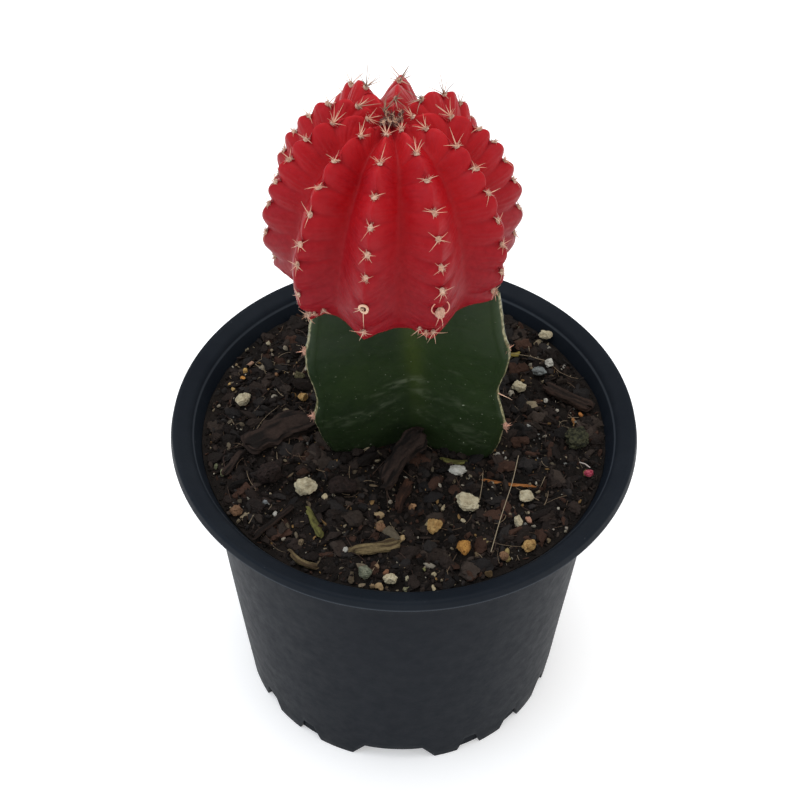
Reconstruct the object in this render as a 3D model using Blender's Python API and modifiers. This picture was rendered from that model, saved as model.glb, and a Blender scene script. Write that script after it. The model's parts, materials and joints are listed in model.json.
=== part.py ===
"""Potted moon cactus: a red ribbed scion grafted on a green three-winged
rootstock, planted in a 100 mm round nursery pot with loose bark and pumice
lying on the potting mix.

Metres, +Z up, origin at the middle of the pot's base on the surface it
stands on, -Y is the front.
"""
import math
import random

import bmesh
import bpy
from mathutils import Matrix, Vector, noise

MM = 0.001

# ---------------------------------------------------------------- dimensions
GAP = 0.3                     # clearance between touching pieces, mm

# pot
POT_HEIGHT = 78.0             # mm, foot to top of rim
RIM_RADIUS = 50.0             # top edge of the flange
LIP_RADIUS = 50.5             # bottom edge of the flange skirt
LIP_DEPTH = 2.3
RIM_INNER_RADIUS = 46.3       # inner edge of the sloping flange
RIM_INNER_DROP = 1.1
FOOT_RADIUS = 37.1
SHOULDER_RADIUS = 43.2        # outer wall just below the flare
SHOULDER_Z = 67.0
WALL = 1.1
FOOT_WIDTH = 1.6
FLOOR_UNDERSIDE = 3.0
FLOOR_THICKNESS = 1.4
NOTCH_HEIGHT = 5.0
POT_STEPS = 72
# foot notches: middle azimuth, half width at the ground, half width at the top
WIDE_NOTCH = (15.0, 10.3)
NARROW_NOTCH = (4.6, 2.2)
RECESS_DEPTH = 1.0
NOTCH_AZIMUTHS = (
    (-1.6, WIDE_NOTCH), (26.6, NARROW_NOTCH), (45.0, NARROW_NOTCH),
    (64.0, NARROW_NOTCH), (84.0, NARROW_NOTCH), (118.4, WIDE_NOTCH),
    (148.4, NARROW_NOTCH), (168.4, NARROW_NOTCH), (188.4, NARROW_NOTCH),
    (208.4, NARROW_NOTCH), (238.4, WIDE_NOTCH), (266.0, NARROW_NOTCH),
    (286.0, NARROW_NOTCH), (306.2, NARROW_NOTCH), (325.8, NARROW_NOTCH),
)
DRAIN_HOLES = 5
DRAIN_RADIUS = 3.0
DRAIN_CIRCLE = 21.0

# potting mix
SOIL_TOP = 73.6
SOIL_EDGE_TOP = 73.2

# rootstock (three-winged climbing cactus stem)
STOCK_X, STOCK_Y = 1.0, 3.0
STOCK_TOP = 121.0
STOCK_BOTTOM = 50.0
WING_AZIMUTHS = (-61.0, 60.0, 180.0)
WING_RADIUS = 22.1            # mean reach of a wing
MARGIN_WAVE = 1.15            # half height of the wavy margin
MARGIN_PITCH = 19.3
MARGIN_CREST_Z = 105.6        # height of the upper areole
VALLEY_RADIUS = 6.2
WING_TIP_HALF = 1.25          # half thickness of the wing edge
WING_ROOT_HALF = 4.3

# scion (ribbed head)
HEAD_X, HEAD_Y, HEAD_Z = -3.81, 3.48, 144.65
HEAD_TILT = (2.0, 1.27)       # degrees towards +X and +Y
CUT_Z = STOCK_TOP + GAP       # flat graft face under the head
RIB_COUNT = 10
RIB_AZIMUTHS = (-8.2, 24.9, 62.1, 95.6, 135.9, 175.8, 209.5, 247.4, 279.3, 318.1)
RIB_REACH = (1.0, 1.013, 1.022, 1.046, 1.026, 1.003, 0.994, 0.958, 0.937, 0.975)
HEAD_TERMS = (23.64, -12.92, 0.57, -0.69, -0.71)   # cosine terms of the crest
GROOVE_DEPTH = 5.6
TIP_HANG = 1.7                # front rib ends hang this far below the cut
HEAD_END = 131.0              # polar angle of the lowest crest point, degrees

COLLECTION = "potted_moon_cactus"


# ---------------------------------------------------------------- scene set-up
for old in list(bpy.data.objects):
    bpy.data.objects.remove(old, do_unlink=True)


def new_collection(name):
    col = bpy.data.collections.get(name)
    if col is None:
        col = bpy.data.collections.new(name)
        bpy.context.scene.collection.children.link(col)
    return col


PARTS = new_collection(COLLECTION)
CUTTERS = new_collection("cutters")

root = bpy.data.objects.new("plant_frame", None)
root.empty_display_size = 0.02
PARTS.objects.link(root)


def material(name, colour, roughness, metallic=0.0):
    mat = bpy.data.materials.get(name)
    if mat is None:
        mat = bpy.data.materials.new(name)
        mat.use_nodes = True
        bsdf = mat.node_tree.nodes["Principled BSDF"]
        bsdf.inputs["Base Color"].default_value = (*colour, 1.0)
        bsdf.inputs["Roughness"].default_value = roughness
        bsdf.inputs["Metallic"].default_value = metallic
        mat.diffuse_color = (*colour, 1.0)
    return mat


def add_mesh(name, bm, mat, location=(0, 0, 0), rotation=(0, 0, 0),
             collection=None, smooth=40.0):
    mesh = bpy.data.meshes.new(name)
    bm.to_mesh(mesh)
    bm.free()
    obj = bpy.data.objects.new(name, mesh)
    (collection or PARTS).objects.link(obj)
    if mat is not None:
        mesh.materials.append(mat)
    mesh.shade_smooth()
    mesh.set_sharp_from_angle(angle=math.radians(smooth))
    obj.location = location
    obj.rotation_euler = rotation
    obj.parent = root if collection is None else None
    return obj


def turned(name, profile, mat, steps):
    """Profile of (radius, height) in mm, top to bottom on its outer side."""
    mesh = bpy.data.meshes.new(name)
    mesh.from_pydata([(r * MM, 0.0, z * MM) for r, z in profile],
                     [(i, i + 1) for i in range(len(profile) - 1)], [])
    obj = bpy.data.objects.new(name, mesh)
    PARTS.objects.link(obj)
    mesh.materials.append(mat)
    obj.parent = root
    screw = obj.modifiers.new("turn", 'SCREW')
    screw.axis = 'Z'
    screw.angle = math.tau
    screw.steps = steps
    screw.render_steps = steps
    screw.use_merge_vertices = True
    screw.merge_threshold = 0.00001
    screw.use_smooth_shade = True
    return obj


def cut(obj, cutter, label):
    cutter.display_type = 'WIRE'
    cutter.hide_render = True
    mod = obj.modifiers.new(label, 'BOOLEAN')
    mod.operation = 'DIFFERENCE'
    mod.solver = 'EXACT'
    mod.object = cutter


def polar(azimuth, radius):
    """Azimuth in degrees from the front (-Y), growing towards +X."""
    a = math.radians(azimuth)
    return radius * math.sin(a), -radius * math.cos(a)


# ------------------------------------------------------------------------ pot
PLASTIC = material("pot_plastic", (0.026, 0.032, 0.040), 0.42)
OUTER_SLOPE = (SHOULDER_RADIUS - FOOT_RADIUS) / SHOULDER_Z


def outer_radius(z):
    return FOOT_RADIUS + OUTER_SLOPE * z


floor_top = FLOOR_UNDERSIDE + FLOOR_THICKNESS
skirt_z = POT_HEIGHT - LIP_DEPTH
pot_profile = [
    (0.0, floor_top),
    (outer_radius(floor_top) - WALL - 1.2, floor_top),
    (outer_radius(floor_top) - WALL, floor_top + 1.2),
    (outer_radius(SHOULDER_Z) - WALL, SHOULDER_Z + 0.3),
    (outer_radius(70.0) - WALL + 0.5, 70.4),
    (44.2, 73.4),
    (45.3, 75.4),
    (RIM_INNER_RADIUS, POT_HEIGHT - RIM_INNER_DROP),
    (RIM_RADIUS - 0.9, POT_HEIGHT - 0.05),
    (RIM_RADIUS - 0.3, POT_HEIGHT),
    (RIM_RADIUS + 0.1, POT_HEIGHT - 0.35),
    (LIP_RADIUS, skirt_z + 0.2),
    (LIP_RADIUS - 0.25, skirt_z),
    (LIP_RADIUS - 1.1, skirt_z),
    (LIP_RADIUS - 1.4, skirt_z + 0.8),
    (48.0, 76.1),
    (46.5, 75.0),
    (45.2, 72.9),
    (44.0, 70.0),
    (SHOULDER_RADIUS, SHOULDER_Z),
    (FOOT_RADIUS + 0.05, 0.4),
    (FOOT_RADIUS - 0.25, 0.0),
    (FOOT_RADIUS - FOOT_WIDTH, 0.0),
    (FOOT_RADIUS - FOOT_WIDTH, FLOOR_UNDERSIDE),
    (0.0, FLOOR_UNDERSIDE),
]
pot = turned("pot", pot_profile, PLASTIC, POT_STEPS)

# one wedge-shaped cutter per foot notch, wider at the ground than at the top
bm = bmesh.new()
for azimuth, (half_ground, half_top) in NOTCH_AZIMUTHS:
    lower, upper = -1.0, NOTCH_HEIGHT
    spread = half_ground + (half_ground - half_top) * (-lower / upper)
    # the wide notches go right through the foot, the narrow ones are recesses
    inner = FOOT_RADIUS - (4.5 if half_ground > 10.0 else RECESS_DEPTH)
    corners = []
    for z, half in ((lower, spread), (upper, half_top)):
        for radius in (inner, FOOT_RADIUS + 3.0):
            for sign in (-1, 1):
                x, y = polar(azimuth + sign * half, radius)
                corners.append((x * MM, y * MM, z * MM))
    made = bmesh.ops.create_cube(bm, size=1.0)["verts"]
    made.sort(key=lambda v: (v.co.z, v.co.y, v.co.x))
    # cube order after the sort: bottom inner pair, bottom outer pair, then top
    for vert, co in zip(made, corners):
        vert.co = Vector(co)
bmesh.ops.recalc_face_normals(bm, faces=bm.faces)
notches = add_mesh("foot_notch_cutter", bm, None, collection=CUTTERS)
cut(pot, notches, "foot_notches")

bm = bmesh.new()
for k in range(DRAIN_HOLES):
    x, y = polar(36.0 + 360.0 / DRAIN_HOLES * k, DRAIN_CIRCLE)
    bmesh.ops.create_cone(
        bm, cap_ends=True, segments=16, radius1=DRAIN_RADIUS * MM,
        radius2=DRAIN_RADIUS * MM, depth=6.0 * MM,
        matrix=Matrix.Translation((x * MM, y * MM,
                                   (FLOOR_UNDERSIDE + 0.7) * MM)))
drains = add_mesh("drain_hole_cutter", bm, None, collection=CUTTERS)
cut(pot, drains, "drain_holes")


# ------------------------------------------------------------------- rootstock
def wing_reach(z):
    """Distance from the stem's axis to a wing's margin at height z, mm."""
    reach = WING_RADIUS + MARGIN_WAVE * math.cos(
        math.tau * (z - MARGIN_CREST_Z) / MARGIN_PITCH)
    if z < 82.0:                       # the stem rounds off into the soil
        reach -= 5.2 * min(1.0, (82.0 - z) / 11.0) ** 2
    if z < 68.0:
        reach -= 9.0 * min(1.0, (68.0 - z) / 18.0) ** 1.5
    if z > 112.0:
        reach -= 1.4 * (z - 112.0) / 9.0
    return reach


def stock_section(z, grow=0.0):
    """Closed outline of the three-winged stem at height z, anticlockwise."""
    reach = wing_reach(z)
    bulge = 1.0 + 0.25 * max(0.0, min(1.0, (90.0 - z) / 16.0))
    root_half = WING_ROOT_HALF * bulge
    points = []
    for azimuth in WING_AZIMUTHS:
        a = math.radians(azimuth)
        out = Vector((math.sin(a), -math.cos(a)))
        side = Vector((-out.y, out.x))
        # from the valley before the wing, along its flank, round the margin
        # and back: (distance along the wing, half thickness)
        flank = []
        for t in (0.0, 0.25, 0.5, 0.75):
            along = VALLEY_RADIUS * 0.62 + t * (reach - 1.2 - VALLEY_RADIUS * 0.62)
            half = (root_half * (1 - t) + WING_TIP_HALF * t
                    + 0.9 * math.sin(math.pi * t) * bulge)
            flank.append((along, half))
        flank.append((reach - 0.9, WING_TIP_HALF))
        flank.append((reach - 0.15, WING_TIP_HALF * 0.55))
        for along, half in flank:
            points.append(out * along - side * (half + grow))
        points.append(out * (reach + grow))
        for along, half in reversed(flank):
            points.append(out * along + side * (half + grow))
    return [(STOCK_X + p.x, STOCK_Y + p.y, z) for p in points]


def stock_mesh(grow=0.0, top=STOCK_TOP, bottom=STOCK_BOTTOM):
    bm = bmesh.new()
    levels = 24
    rings = []
    for k in range(levels + 1):
        z = bottom + (top - bottom) * k / levels
        rings.append([bm.verts.new(Vector(p) * MM)
                      for p in stock_section(min(z, STOCK_TOP), grow)])
        for v in rings[-1]:
            v.co.z = z * MM
    n = len(rings[0])
    for lower, upper in zip(rings, rings[1:]):
        for i in range(n):
            j = (i + 1) % n
            bm.faces.new((lower[i], lower[j], upper[j], upper[i]))
    bm.faces.new(rings[-1])
    bm.faces.new(list(reversed(rings[0])))
    bmesh.ops.recalc_face_normals(bm, faces=bm.faces)
    bmesh.ops.triangulate(bm, faces=[f for f in bm.faces if len(f.verts) > 4])
    return bm


STEM = material("stem_skin", (0.020, 0.036, 0.013), 0.5)
rootstock = add_mesh("rootstock", stock_mesh(), STEM)


# ----------------------------------------------------------------- potting mix
MIX = material("potting_mix", (0.020, 0.015, 0.012), 0.95)
wall_in = outer_radius(SHOULDER_Z) - WALL - GAP
soil_profile = [
    (0.0, SOIL_TOP),
    (20.0, SOIL_TOP),
    (34.0, SOIL_TOP),
    (43.4, SOIL_EDGE_TOP),
    (42.6 - GAP, 70.2),
    (wall_in, SHOULDER_Z),
    (outer_radius(floor_top) - WALL - GAP - 0.1, floor_top + 1.6),
    (outer_radius(floor_top) - WALL - 1.6, floor_top + GAP),
    (0.0, floor_top + GAP),
]
soil = turned("soil", soil_profile, MIX, POT_STEPS // 2)
socket = add_mesh("rootstock_socket_cutter",
                  stock_mesh(grow=GAP + 0.15, top=SOIL_TOP + 6.0,
                             bottom=STOCK_BOTTOM - GAP),
                  None, collection=CUTTERS)
cut(soil, socket, "rootstock_socket")


# ----------------------------------------------------------------------- scion
def crest_profile(theta):
    """Crest of a rib: radius and height above the head's centre, mm."""
    rho = sum(c * math.cos(k * theta) for k, c in enumerate(HEAD_TERMS))
    return rho * math.sin(theta), rho * math.cos(theta)


def head_axes():
    tx, ty = (math.radians(t) for t in HEAD_TILT)
    up = Vector((math.sin(tx), math.sin(ty), 0.0))
    up.z = math.sqrt(1.0 - up.x ** 2 - up.y ** 2)
    ex = Vector((1, 0, 0))
    ex = (ex - up * up.dot(ex)).normalized()
    return ex, up.cross(ex), up


EX, EY, EZ = head_axes()
HEAD_CENTRE = Vector((HEAD_X, HEAD_Y, HEAD_Z))


def head_point(theta, rib, u):
    """Point of the head; u runs 0..1 from one rib's crest to the next."""
    r, h = crest_profile(theta)
    step = 0.001
    r2, h2 = crest_profile(theta + step)
    r1, h1 = crest_profile(theta - step)
    tangent = Vector((r2 - r1, h2 - h1)).normalized()
    normal = Vector((-tangent.y, tangent.x))       # outward across the meridian
    if normal.dot(Vector((math.sin(theta), math.cos(theta)))) < 0:
        normal = -normal
    normal.y = max(normal.y, 0.0)
    normal.normalize()
    nxt = (rib + 1) % RIB_COUNT
    az0, az1 = RIB_AZIMUTHS[rib], RIB_AZIMUTHS[nxt]
    if az1 < az0:
        az1 += 360.0
    reach = RIB_REACH[rib] * (1 - u) + RIB_REACH[nxt] * u
    side = 1.0 - abs(2.0 * u - 1.0)                 # 0 on a crest, 1 in a groove
    growth = min(1.0, theta / math.radians(62.0))
    depth = GROOVE_DEPTH * growth ** 0.8 * side ** 1.35
    if theta > math.radians(112.0):
        depth *= 1.0 - 0.22 * (theta - math.radians(112.0)) / math.radians(20.0)
    r = max(0.0, r * reach - normal.x * depth)
    h = h - normal.y * depth
    az = math.radians(az0 + (az1 - az0) * u)
    out = EX * math.sin(az) - EY * math.cos(az)
    return HEAD_CENTRE + out * r + EZ * h


def front_hang(azimuth):
    """How far a rib end hangs below the cut, fading out behind the front."""
    d = (azimuth + 180.0 + 14.0) % 360.0 - 180.0
    return TIP_HANG * max(0.0, min(1.0, (62.0 - abs(d)) / 20.0))


def head_mesh(per_rib=6, rings=17):
    bm = bmesh.new()
    grid = []
    apex = bm.verts.new((HEAD_CENTRE + EZ * crest_profile(0.0)[1]) * MM)
    for k in range(1, rings + 1):
        theta = math.radians(HEAD_END) * (k / rings) ** 0.9
        ring = []
        for rib in range(RIB_COUNT):
            for i in range(per_rib):
                p = head_point(theta, rib, i / per_rib)
                low = CUT_Z + 0.9
                p.z = max(p.z, low + 0.05 * (rings - k))
                ring.append(bm.verts.new(p * MM))
        grid.append(ring)
    n = RIB_COUNT * per_rib
    lip = []
    for i in range(n):
        rib, part = divmod(i, per_rib)
        u = part / per_rib
        p = grid[-1][i].co / MM
        az = RIB_AZIMUTHS[rib] if u < 0.5 else RIB_AZIMUTHS[(rib + 1) % RIB_COUNT]
        crest = (1.0 - (1.0 - abs(2.0 * u - 1.0))) ** 1.5
        q = p.copy()
        q.x = HEAD_X + (p.x - HEAD_X) * 0.985
        q.y = HEAD_Y + (p.y - HEAD_Y) * 0.985
        q.z = CUT_Z + 0.25 - front_hang(az) * crest
        lip.append(bm.verts.new(q * MM))
    grid.append(lip)
    under = []
    for v in lip:
        p = v.co / MM
        q = Vector((HEAD_X + (p.x - HEAD_X) * 0.90,
                    HEAD_Y + (p.y - HEAD_Y) * 0.90, CUT_Z))
        under.append(bm.verts.new(q * MM))
    grid.append(under)
    for i in range(n):
        bm.faces.new((apex, grid[0][i], grid[0][(i + 1) % n]))
    for upper, lower in zip(grid, grid[1:]):
        for i in range(n):
            j = (i + 1) % n
            bm.faces.new((upper[i], lower[i], lower[j], upper[j]))
    centre = bm.verts.new((HEAD_X * MM, HEAD_Y * MM, CUT_Z * MM))
    for i in range(n):
        bm.faces.new((centre, grid[-1][(i + 1) % n], grid[-1][i]))
    bmesh.ops.recalc_face_normals(bm, faces=bm.faces)
    return bm


FLESH = material("head_flesh", (0.330, 0.012, 0.018), 0.42)
scion = add_mesh("scion", head_mesh(), FLESH, smooth=75.0)


# ------------------------------------------------- loose pieces on the surface
GROUND = SOIL_TOP + GAP


def rough(co, seed, amount, scale):
    shift = Vector((seed * 3.7, seed * 1.3, seed * 7.1))
    return 1.0 + amount * noise.noise(co * scale + shift)


def stone(name, x, y, size, turn, mat, seed):
    """A pebble or grain: an icosphere pulled to size, roughened, flat below."""
    bm = bmesh.new()
    bmesh.ops.create_icosphere(bm, subdivisions=2, radius=1.0)
    a, b, c = size
    for v in bm.verts:
        k = rough(v.co, seed, 0.32, 1.3)
        v.co = Vector((v.co.x * a * k, v.co.y * b * k,
                       max(v.co.z * c * k, -0.62 * c)))
    low = min(v.co.z for v in bm.verts)
    for v in bm.verts:
        v.co.z -= low
        v.co *= MM
    return add_mesh(name, bm, mat, (x * MM, y * MM, GROUND * MM),
                    (0, 0, math.radians(turn)), smooth=50.0)


def chip(name, start, end, width, thick, mat, seed, bend=0.0, taper=0.7,
         lift=(0.0, 0.0)):
    """A bark chip or splinter between two points: a subdivided, bent box."""
    ax, ay = start
    bx, by = end
    length = math.hypot(bx - ax, by - ay)
    bm = bmesh.new()
    bmesh.ops.create_cube(bm, size=1.0)
    long_edges = [e for e in bm.edges
                  if abs(e.verts[0].co.x - e.verts[1].co.x) > 0.5]
    bmesh.ops.subdivide_edges(bm, edges=long_edges, cuts=4, use_grid_fill=True)
    cross = [e for e in bm.edges
             if abs(e.verts[0].co.y - e.verts[1].co.y) > 0.5]
    bmesh.ops.subdivide_edges(bm, edges=cross, cuts=1, use_grid_fill=True)
    for v in bm.verts:
        t = v.co.x + 0.5
        end_fade = 1.0 - (1.0 - taper) * abs(2.0 * t - 1.0) ** 2.2
        k = rough(Vector((t * 4.0, v.co.y * 2.0, v.co.z)), seed, 0.22, 1.0)
        crown = 1.0 - 0.35 * (2.0 * v.co.y) ** 2
        x = v.co.x * length * (1.0 + 0.04 * math.sin(seed + v.co.y * 5.0))
        y = v.co.y * width * end_fade * k + bend * (1 - (2 * t - 1) ** 2)
        z = (v.co.z + 0.5) * thick * (crown if v.co.z > 0 else 1.0) * (
            k if v.co.z > 0 else 1.0)
        z += lift[0] * (1 - t) + lift[1] * t
        v.co = Vector((x, y, z)) * MM
    bmesh.ops.triangulate(bm, faces=bm.faces)
    bmesh.ops.recalc_face_normals(bm, faces=bm.faces)
    return add_mesh(name, bm, mat,
                    ((ax + bx) / 2 * MM, (ay + by) / 2 * MM, GROUND * MM),
                    (0, 0, math.atan2(by - ay, bx - ax)), smooth=35.0)


def stick(name, points, radius, mat, end_scale=0.6):
    """A twig or needle: a bevelled poly curve with filled ends."""
    curve = bpy.data.curves.new(name, 'CURVE')
    curve.dimensions = '3D'
    curve.bevel_depth = radius * MM
    curve.bevel_resolution = 1
    curve.use_fill_caps = True
    spline = curve.splines.new('POLY')
    spline.points.add(len(points) - 1)
    last = len(points) - 1
    for i, (x, y, z) in enumerate(points):
        spline.points[i].co = (x * MM, y * MM,
                               (GROUND + radius + z) * MM, 1.0)
        spline.points[i].radius = 1.0 - (1.0 - end_scale) * (i / last)
    curve.materials.append(mat)
    obj = bpy.data.objects.new(name, curve)
    PARTS.objects.link(obj)
    obj.parent = root
    return obj


PUMICE = material("pumice_cream", (0.52, 0.46, 0.33), 0.9)
PUMICE_GOLD = material("pumice_gold", (0.46, 0.30, 0.11), 0.9)
PUMICE_GREY = material("pumice_grey", (0.27, 0.27, 0.25), 0.9)
PEBBLE = material("pebble_brown", (0.14, 0.09, 0.055), 0.85)
BARK = material("bark_dark", (0.045, 0.030, 0.024), 0.92)
BARK_RED = material("bark_red", (0.10, 0.040, 0.022), 0.9)
WOOD = material("wood_tan", (0.20, 0.13, 0.06), 0.85)
LEAF = material("leaf_green", (0.12, 0.15, 0.03), 0.6)
LEAF_DRY = material("leaf_yellow", (0.26, 0.20, 0.03), 0.6)
NEEDLE = material("needle_orange", (0.30, 0.11, 0.035), 0.6)
MOSS = material("moss", (0.09, 0.10, 0.05), 0.95)
PETAL = material("petal_pink", (0.42, 0.05, 0.07), 0.6)

# name, x, y, half sizes, turn, material
STONES = (
    ("pumice_front_left", -20.4, -18.2, (2.5, 2.0, 2.0), 15, PUMICE),
    ("pumice_left", -35.6, 7.2, (1.5, 2.0, 1.4), -40, PUMICE),
    ("pumice_front_right", 13.4, -21.6, (2.8, 2.1, 1.9), -15, PUMICE),
    ("pumice_gold_front", 6.5, -27.4, (1.6, 2.1, 1.4), 20, PUMICE_GOLD),
    ("pumice_amber_front", 12.7, -33.2, (1.5, 1.9, 1.4), -10, PUMICE_GOLD),
    ("pumice_right", 25.9, -19.0, (1.8, 1.4, 1.2), 0, PUMICE_GREY),
    ("pumice_back_right", 25.4, 13.0, (1.7, 1.5, 1.3), 10, PUMICE),
    ("pumice_back", 32.0, 29.2, (1.7, 1.2, 1.2), -35, PUMICE),
    ("stone_grey_right", 30.0, 17.6, (1.9, 1.2, 1.1), -50, PUMICE_GREY),
    ("stone_white_right", 32.6, 20.6, (1.1, 1.1, 1.0), 0, PUMICE_GREY),
    ("pumice_edge_right", 26.0, -32.4, (1.9, 1.2, 1.1), 50, PUMICE_GOLD),
    ("pumice_small_right", 24.0, -25.8, (1.0, 1.7, 1.1), 10, PUMICE),
    ("stone_green_grey", -7.0, -40.2, (1.6, 1.5, 1.3), 0, PUMICE_GREY),
    ("pumice_edge_front", -2.2, -41.6, (1.5, 1.1, 1.2), 0, PUMICE),
    ("pebble_tan", -4.6, -27.8, (1.4, 1.2, 1.1), 30, PEBBLE),
    ("pebble_edge_right", 20.8, -35.0, (1.2, 0.9, 0.9), 0, PUMICE_GOLD),
    ("stone_olive_left", -23.8, 15.4, (1.6, 1.4, 1.2), 20, PEBBLE),
    ("stone_amber_left", -22.6, 8.6, (1.1, 1.6, 1.0), 0, PUMICE_GOLD),
    ("bark_lump_left", -28.2, -15.4, (3.2, 2.8, 2.2), 30, BARK),
    ("bark_lump_front", -12.6, -17.6, (3.2, 2.6, 2.0), 20, BARK),
    ("shell_curl", 11.4, -12.0, (1.7, 1.2, 0.9), -10, PUMICE),
    ("wood_knot_left", -34.6, -24.2, (1.5, 1.1, 0.9), -50, BARK_RED),
    ("moss_clump", 37.6, -2.6, (2.4, 3.0, 1.3), 0, MOSS),
    ("petal_bit", 39.6, -12.0, (1.0, 0.8, 0.6), 0, PETAL),
)
for index, (name, x, y, size, turn, mat) in enumerate(STONES):
    stone(name, x, y, size, turn, mat, index + 1)

# name, start, end, width, thickness, material, sideways bend, taper, lift
CHIPS = (
    ("bark_slab_left", (-34.0, -5.6), (-20.4, 1.8), 6.4, 1.9, BARK,
     0.6, 0.72, (0.0, 0.4)),
    ("bark_log_front", (-4.4, -16.6), (3.6, -6.0), 4.8, 3.0, BARK,
     0.2, 0.85, (0.0, 5.0)),
    ("bark_strip_front", (-1.0, -23.2), (1.0, -15.4), 2.2, 1.2, BARK_RED,
     -0.3, 0.6, (0.0, 0.3)),
    ("bark_strip_tan", (-10.0, -34.6), (-0.8, -31.9), 2.6, 0.9, WOOD,
     0.3, 0.6, (0.0, 0.2)),
    ("bark_chip_edge", (-22.8, -34.8), (-17.2, -38.4), 1.5, 0.7, WOOD,
     0.5, 0.4, (0.0, 0.0)),
    ("bark_back_right", (31.4, 13.4), (41.0, 6.8), 3.2, 1.5, BARK_RED,
     1.0, 0.6, (0.0, 0.4)),
    ("bark_sliver_left", (-38.2, -14.2), (-34.6, -7.6), 1.7, 1.2, BARK,
     0.2, 0.6, (0.0, 0.2)),
    ("leaf_bit_green", (-17.0, -30.4), (-20.0, -23.2), 1.7, 0.6, LEAF,
     0.2, 0.5, (0.0, 0.4)),
    ("leaf_bit_olive", (8.2, -8.4), (13.4, -9.0), 1.2, 0.6, LEAF,
     0.3, 0.4, (0.4, 0.0)),
    ("leaf_bit_yellow", (23.0, 23.6), (26.0, 24.2), 1.3, 0.6, LEAF_DRY,
     0.0, 0.5, (0.0, 0.0)),
)
for index, (name, start, end, width, thick, mat, bend, taper, lift) in \
        enumerate(CHIPS):
    chip(name, start, end, width, thick, mat, index + 11, bend, taper, lift)


def arc_points(start, end, sag, count):
    """Points of a shallow sideways arc from start to end, resting on the soil."""
    (ax, ay), (bx, by) = start, end
    length = math.hypot(bx - ax, by - ay)
    nx, ny = -(by - ay) / length, (bx - ax) / length
    pts = []
    for i in range(count):
        t = i / (count - 1)
        off = sag * 4.0 * t * (1.0 - t)
        pts.append((ax + (bx - ax) * t + nx * off,
                    ay + (by - ay) * t + ny * off, 0.15 * math.sin(t * 3.0)))
    return pts


stick("twig_front_left", arc_points((-30.4, -31.4), (-23.0, -22.6), 0.5, 7),
      0.65, BARK, 0.8)
stick("pine_needle", arc_points((16.8, -14.2), (27.8, -15.8), -0.3, 8),
      0.33, NEEDLE, 0.5)
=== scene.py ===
import json
import math

import bpy
import numpy as np
from mathutils import Matrix, Vector

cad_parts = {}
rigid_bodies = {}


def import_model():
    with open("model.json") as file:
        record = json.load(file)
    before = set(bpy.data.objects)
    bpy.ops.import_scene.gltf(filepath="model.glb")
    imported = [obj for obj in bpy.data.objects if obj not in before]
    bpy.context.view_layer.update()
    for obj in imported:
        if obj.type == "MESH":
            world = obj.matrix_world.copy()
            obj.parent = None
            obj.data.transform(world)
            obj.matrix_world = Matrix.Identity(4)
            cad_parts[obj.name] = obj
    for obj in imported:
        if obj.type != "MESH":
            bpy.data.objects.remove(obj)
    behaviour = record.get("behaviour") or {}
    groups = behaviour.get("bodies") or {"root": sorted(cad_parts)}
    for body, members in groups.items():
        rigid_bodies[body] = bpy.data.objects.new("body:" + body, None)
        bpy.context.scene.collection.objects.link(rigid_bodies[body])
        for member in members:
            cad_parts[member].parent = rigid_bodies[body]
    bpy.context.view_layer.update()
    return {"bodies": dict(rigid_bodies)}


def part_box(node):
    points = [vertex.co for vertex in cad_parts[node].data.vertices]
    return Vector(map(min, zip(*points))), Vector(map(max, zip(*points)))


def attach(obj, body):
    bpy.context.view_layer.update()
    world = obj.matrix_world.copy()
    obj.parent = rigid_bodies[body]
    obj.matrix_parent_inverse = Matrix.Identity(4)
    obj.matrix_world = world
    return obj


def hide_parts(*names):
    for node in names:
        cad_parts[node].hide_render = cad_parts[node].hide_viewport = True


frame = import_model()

MM = 0.001
BODY = sorted(frame["bodies"])[0]
for old in [o for o in bpy.data.objects if o.type in ('LIGHT', 'CAMERA')]:
    bpy.data.objects.remove(old, do_unlink=True)


# ------------------------------------------------------------------ utilities
def box_mm(node):
    low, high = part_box(node)
    return np.array(low) * 1000.0, np.array(high) * 1000.0


def smooth(a, b, x):
    t = np.clip((x - a) / (b - a), 0.0, 1.0)
    return t * t * (3.0 - 2.0 * t)


def hash3(ix, iy, iz, seed):
    h = (ix.astype(np.int64) * 73856093) ^ (iy.astype(np.int64) * 19349663) \
        ^ (iz.astype(np.int64) * 83492791) ^ (seed * 2654435761)
    h = (h ^ (h >> 13)) * 1274126177
    h = h ^ (h >> 16)
    return (h & 0xFFFFFF).astype(np.float64) / float(0xFFFFFF) * 2.0 - 1.0


def vnoise(p, scale, seed=0):
    """Smooth value noise in -1..1 of points p (n, 3); scale is its cell in mm."""
    q = np.asarray(p, float) / scale + 1000.0
    i = np.floor(q).astype(np.int64)
    f = q - i
    f = f * f * f * (f * (f * 6 - 15) + 10)
    out = 0.0
    for dx in (0, 1):
        wx = f[..., 0] if dx else 1 - f[..., 0]
        for dy in (0, 1):
            wy = f[..., 1] if dy else 1 - f[..., 1]
            for dz in (0, 1):
                wz = f[..., 2] if dz else 1 - f[..., 2]
                out = out + wx * wy * wz * hash3(
                    i[..., 0] + dx, i[..., 1] + dy, i[..., 2] + dz, seed)
    return out


def fbm(p, scale, seed=0, octaves=3, gain=0.5):
    out, amp, total = 0.0, 1.0, 0.0
    for k in range(octaves):
        out = out + amp * vnoise(p, scale / 2.0 ** k, seed + 17 * k)
        total += amp
        amp *= gain
    return out / total


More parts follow.
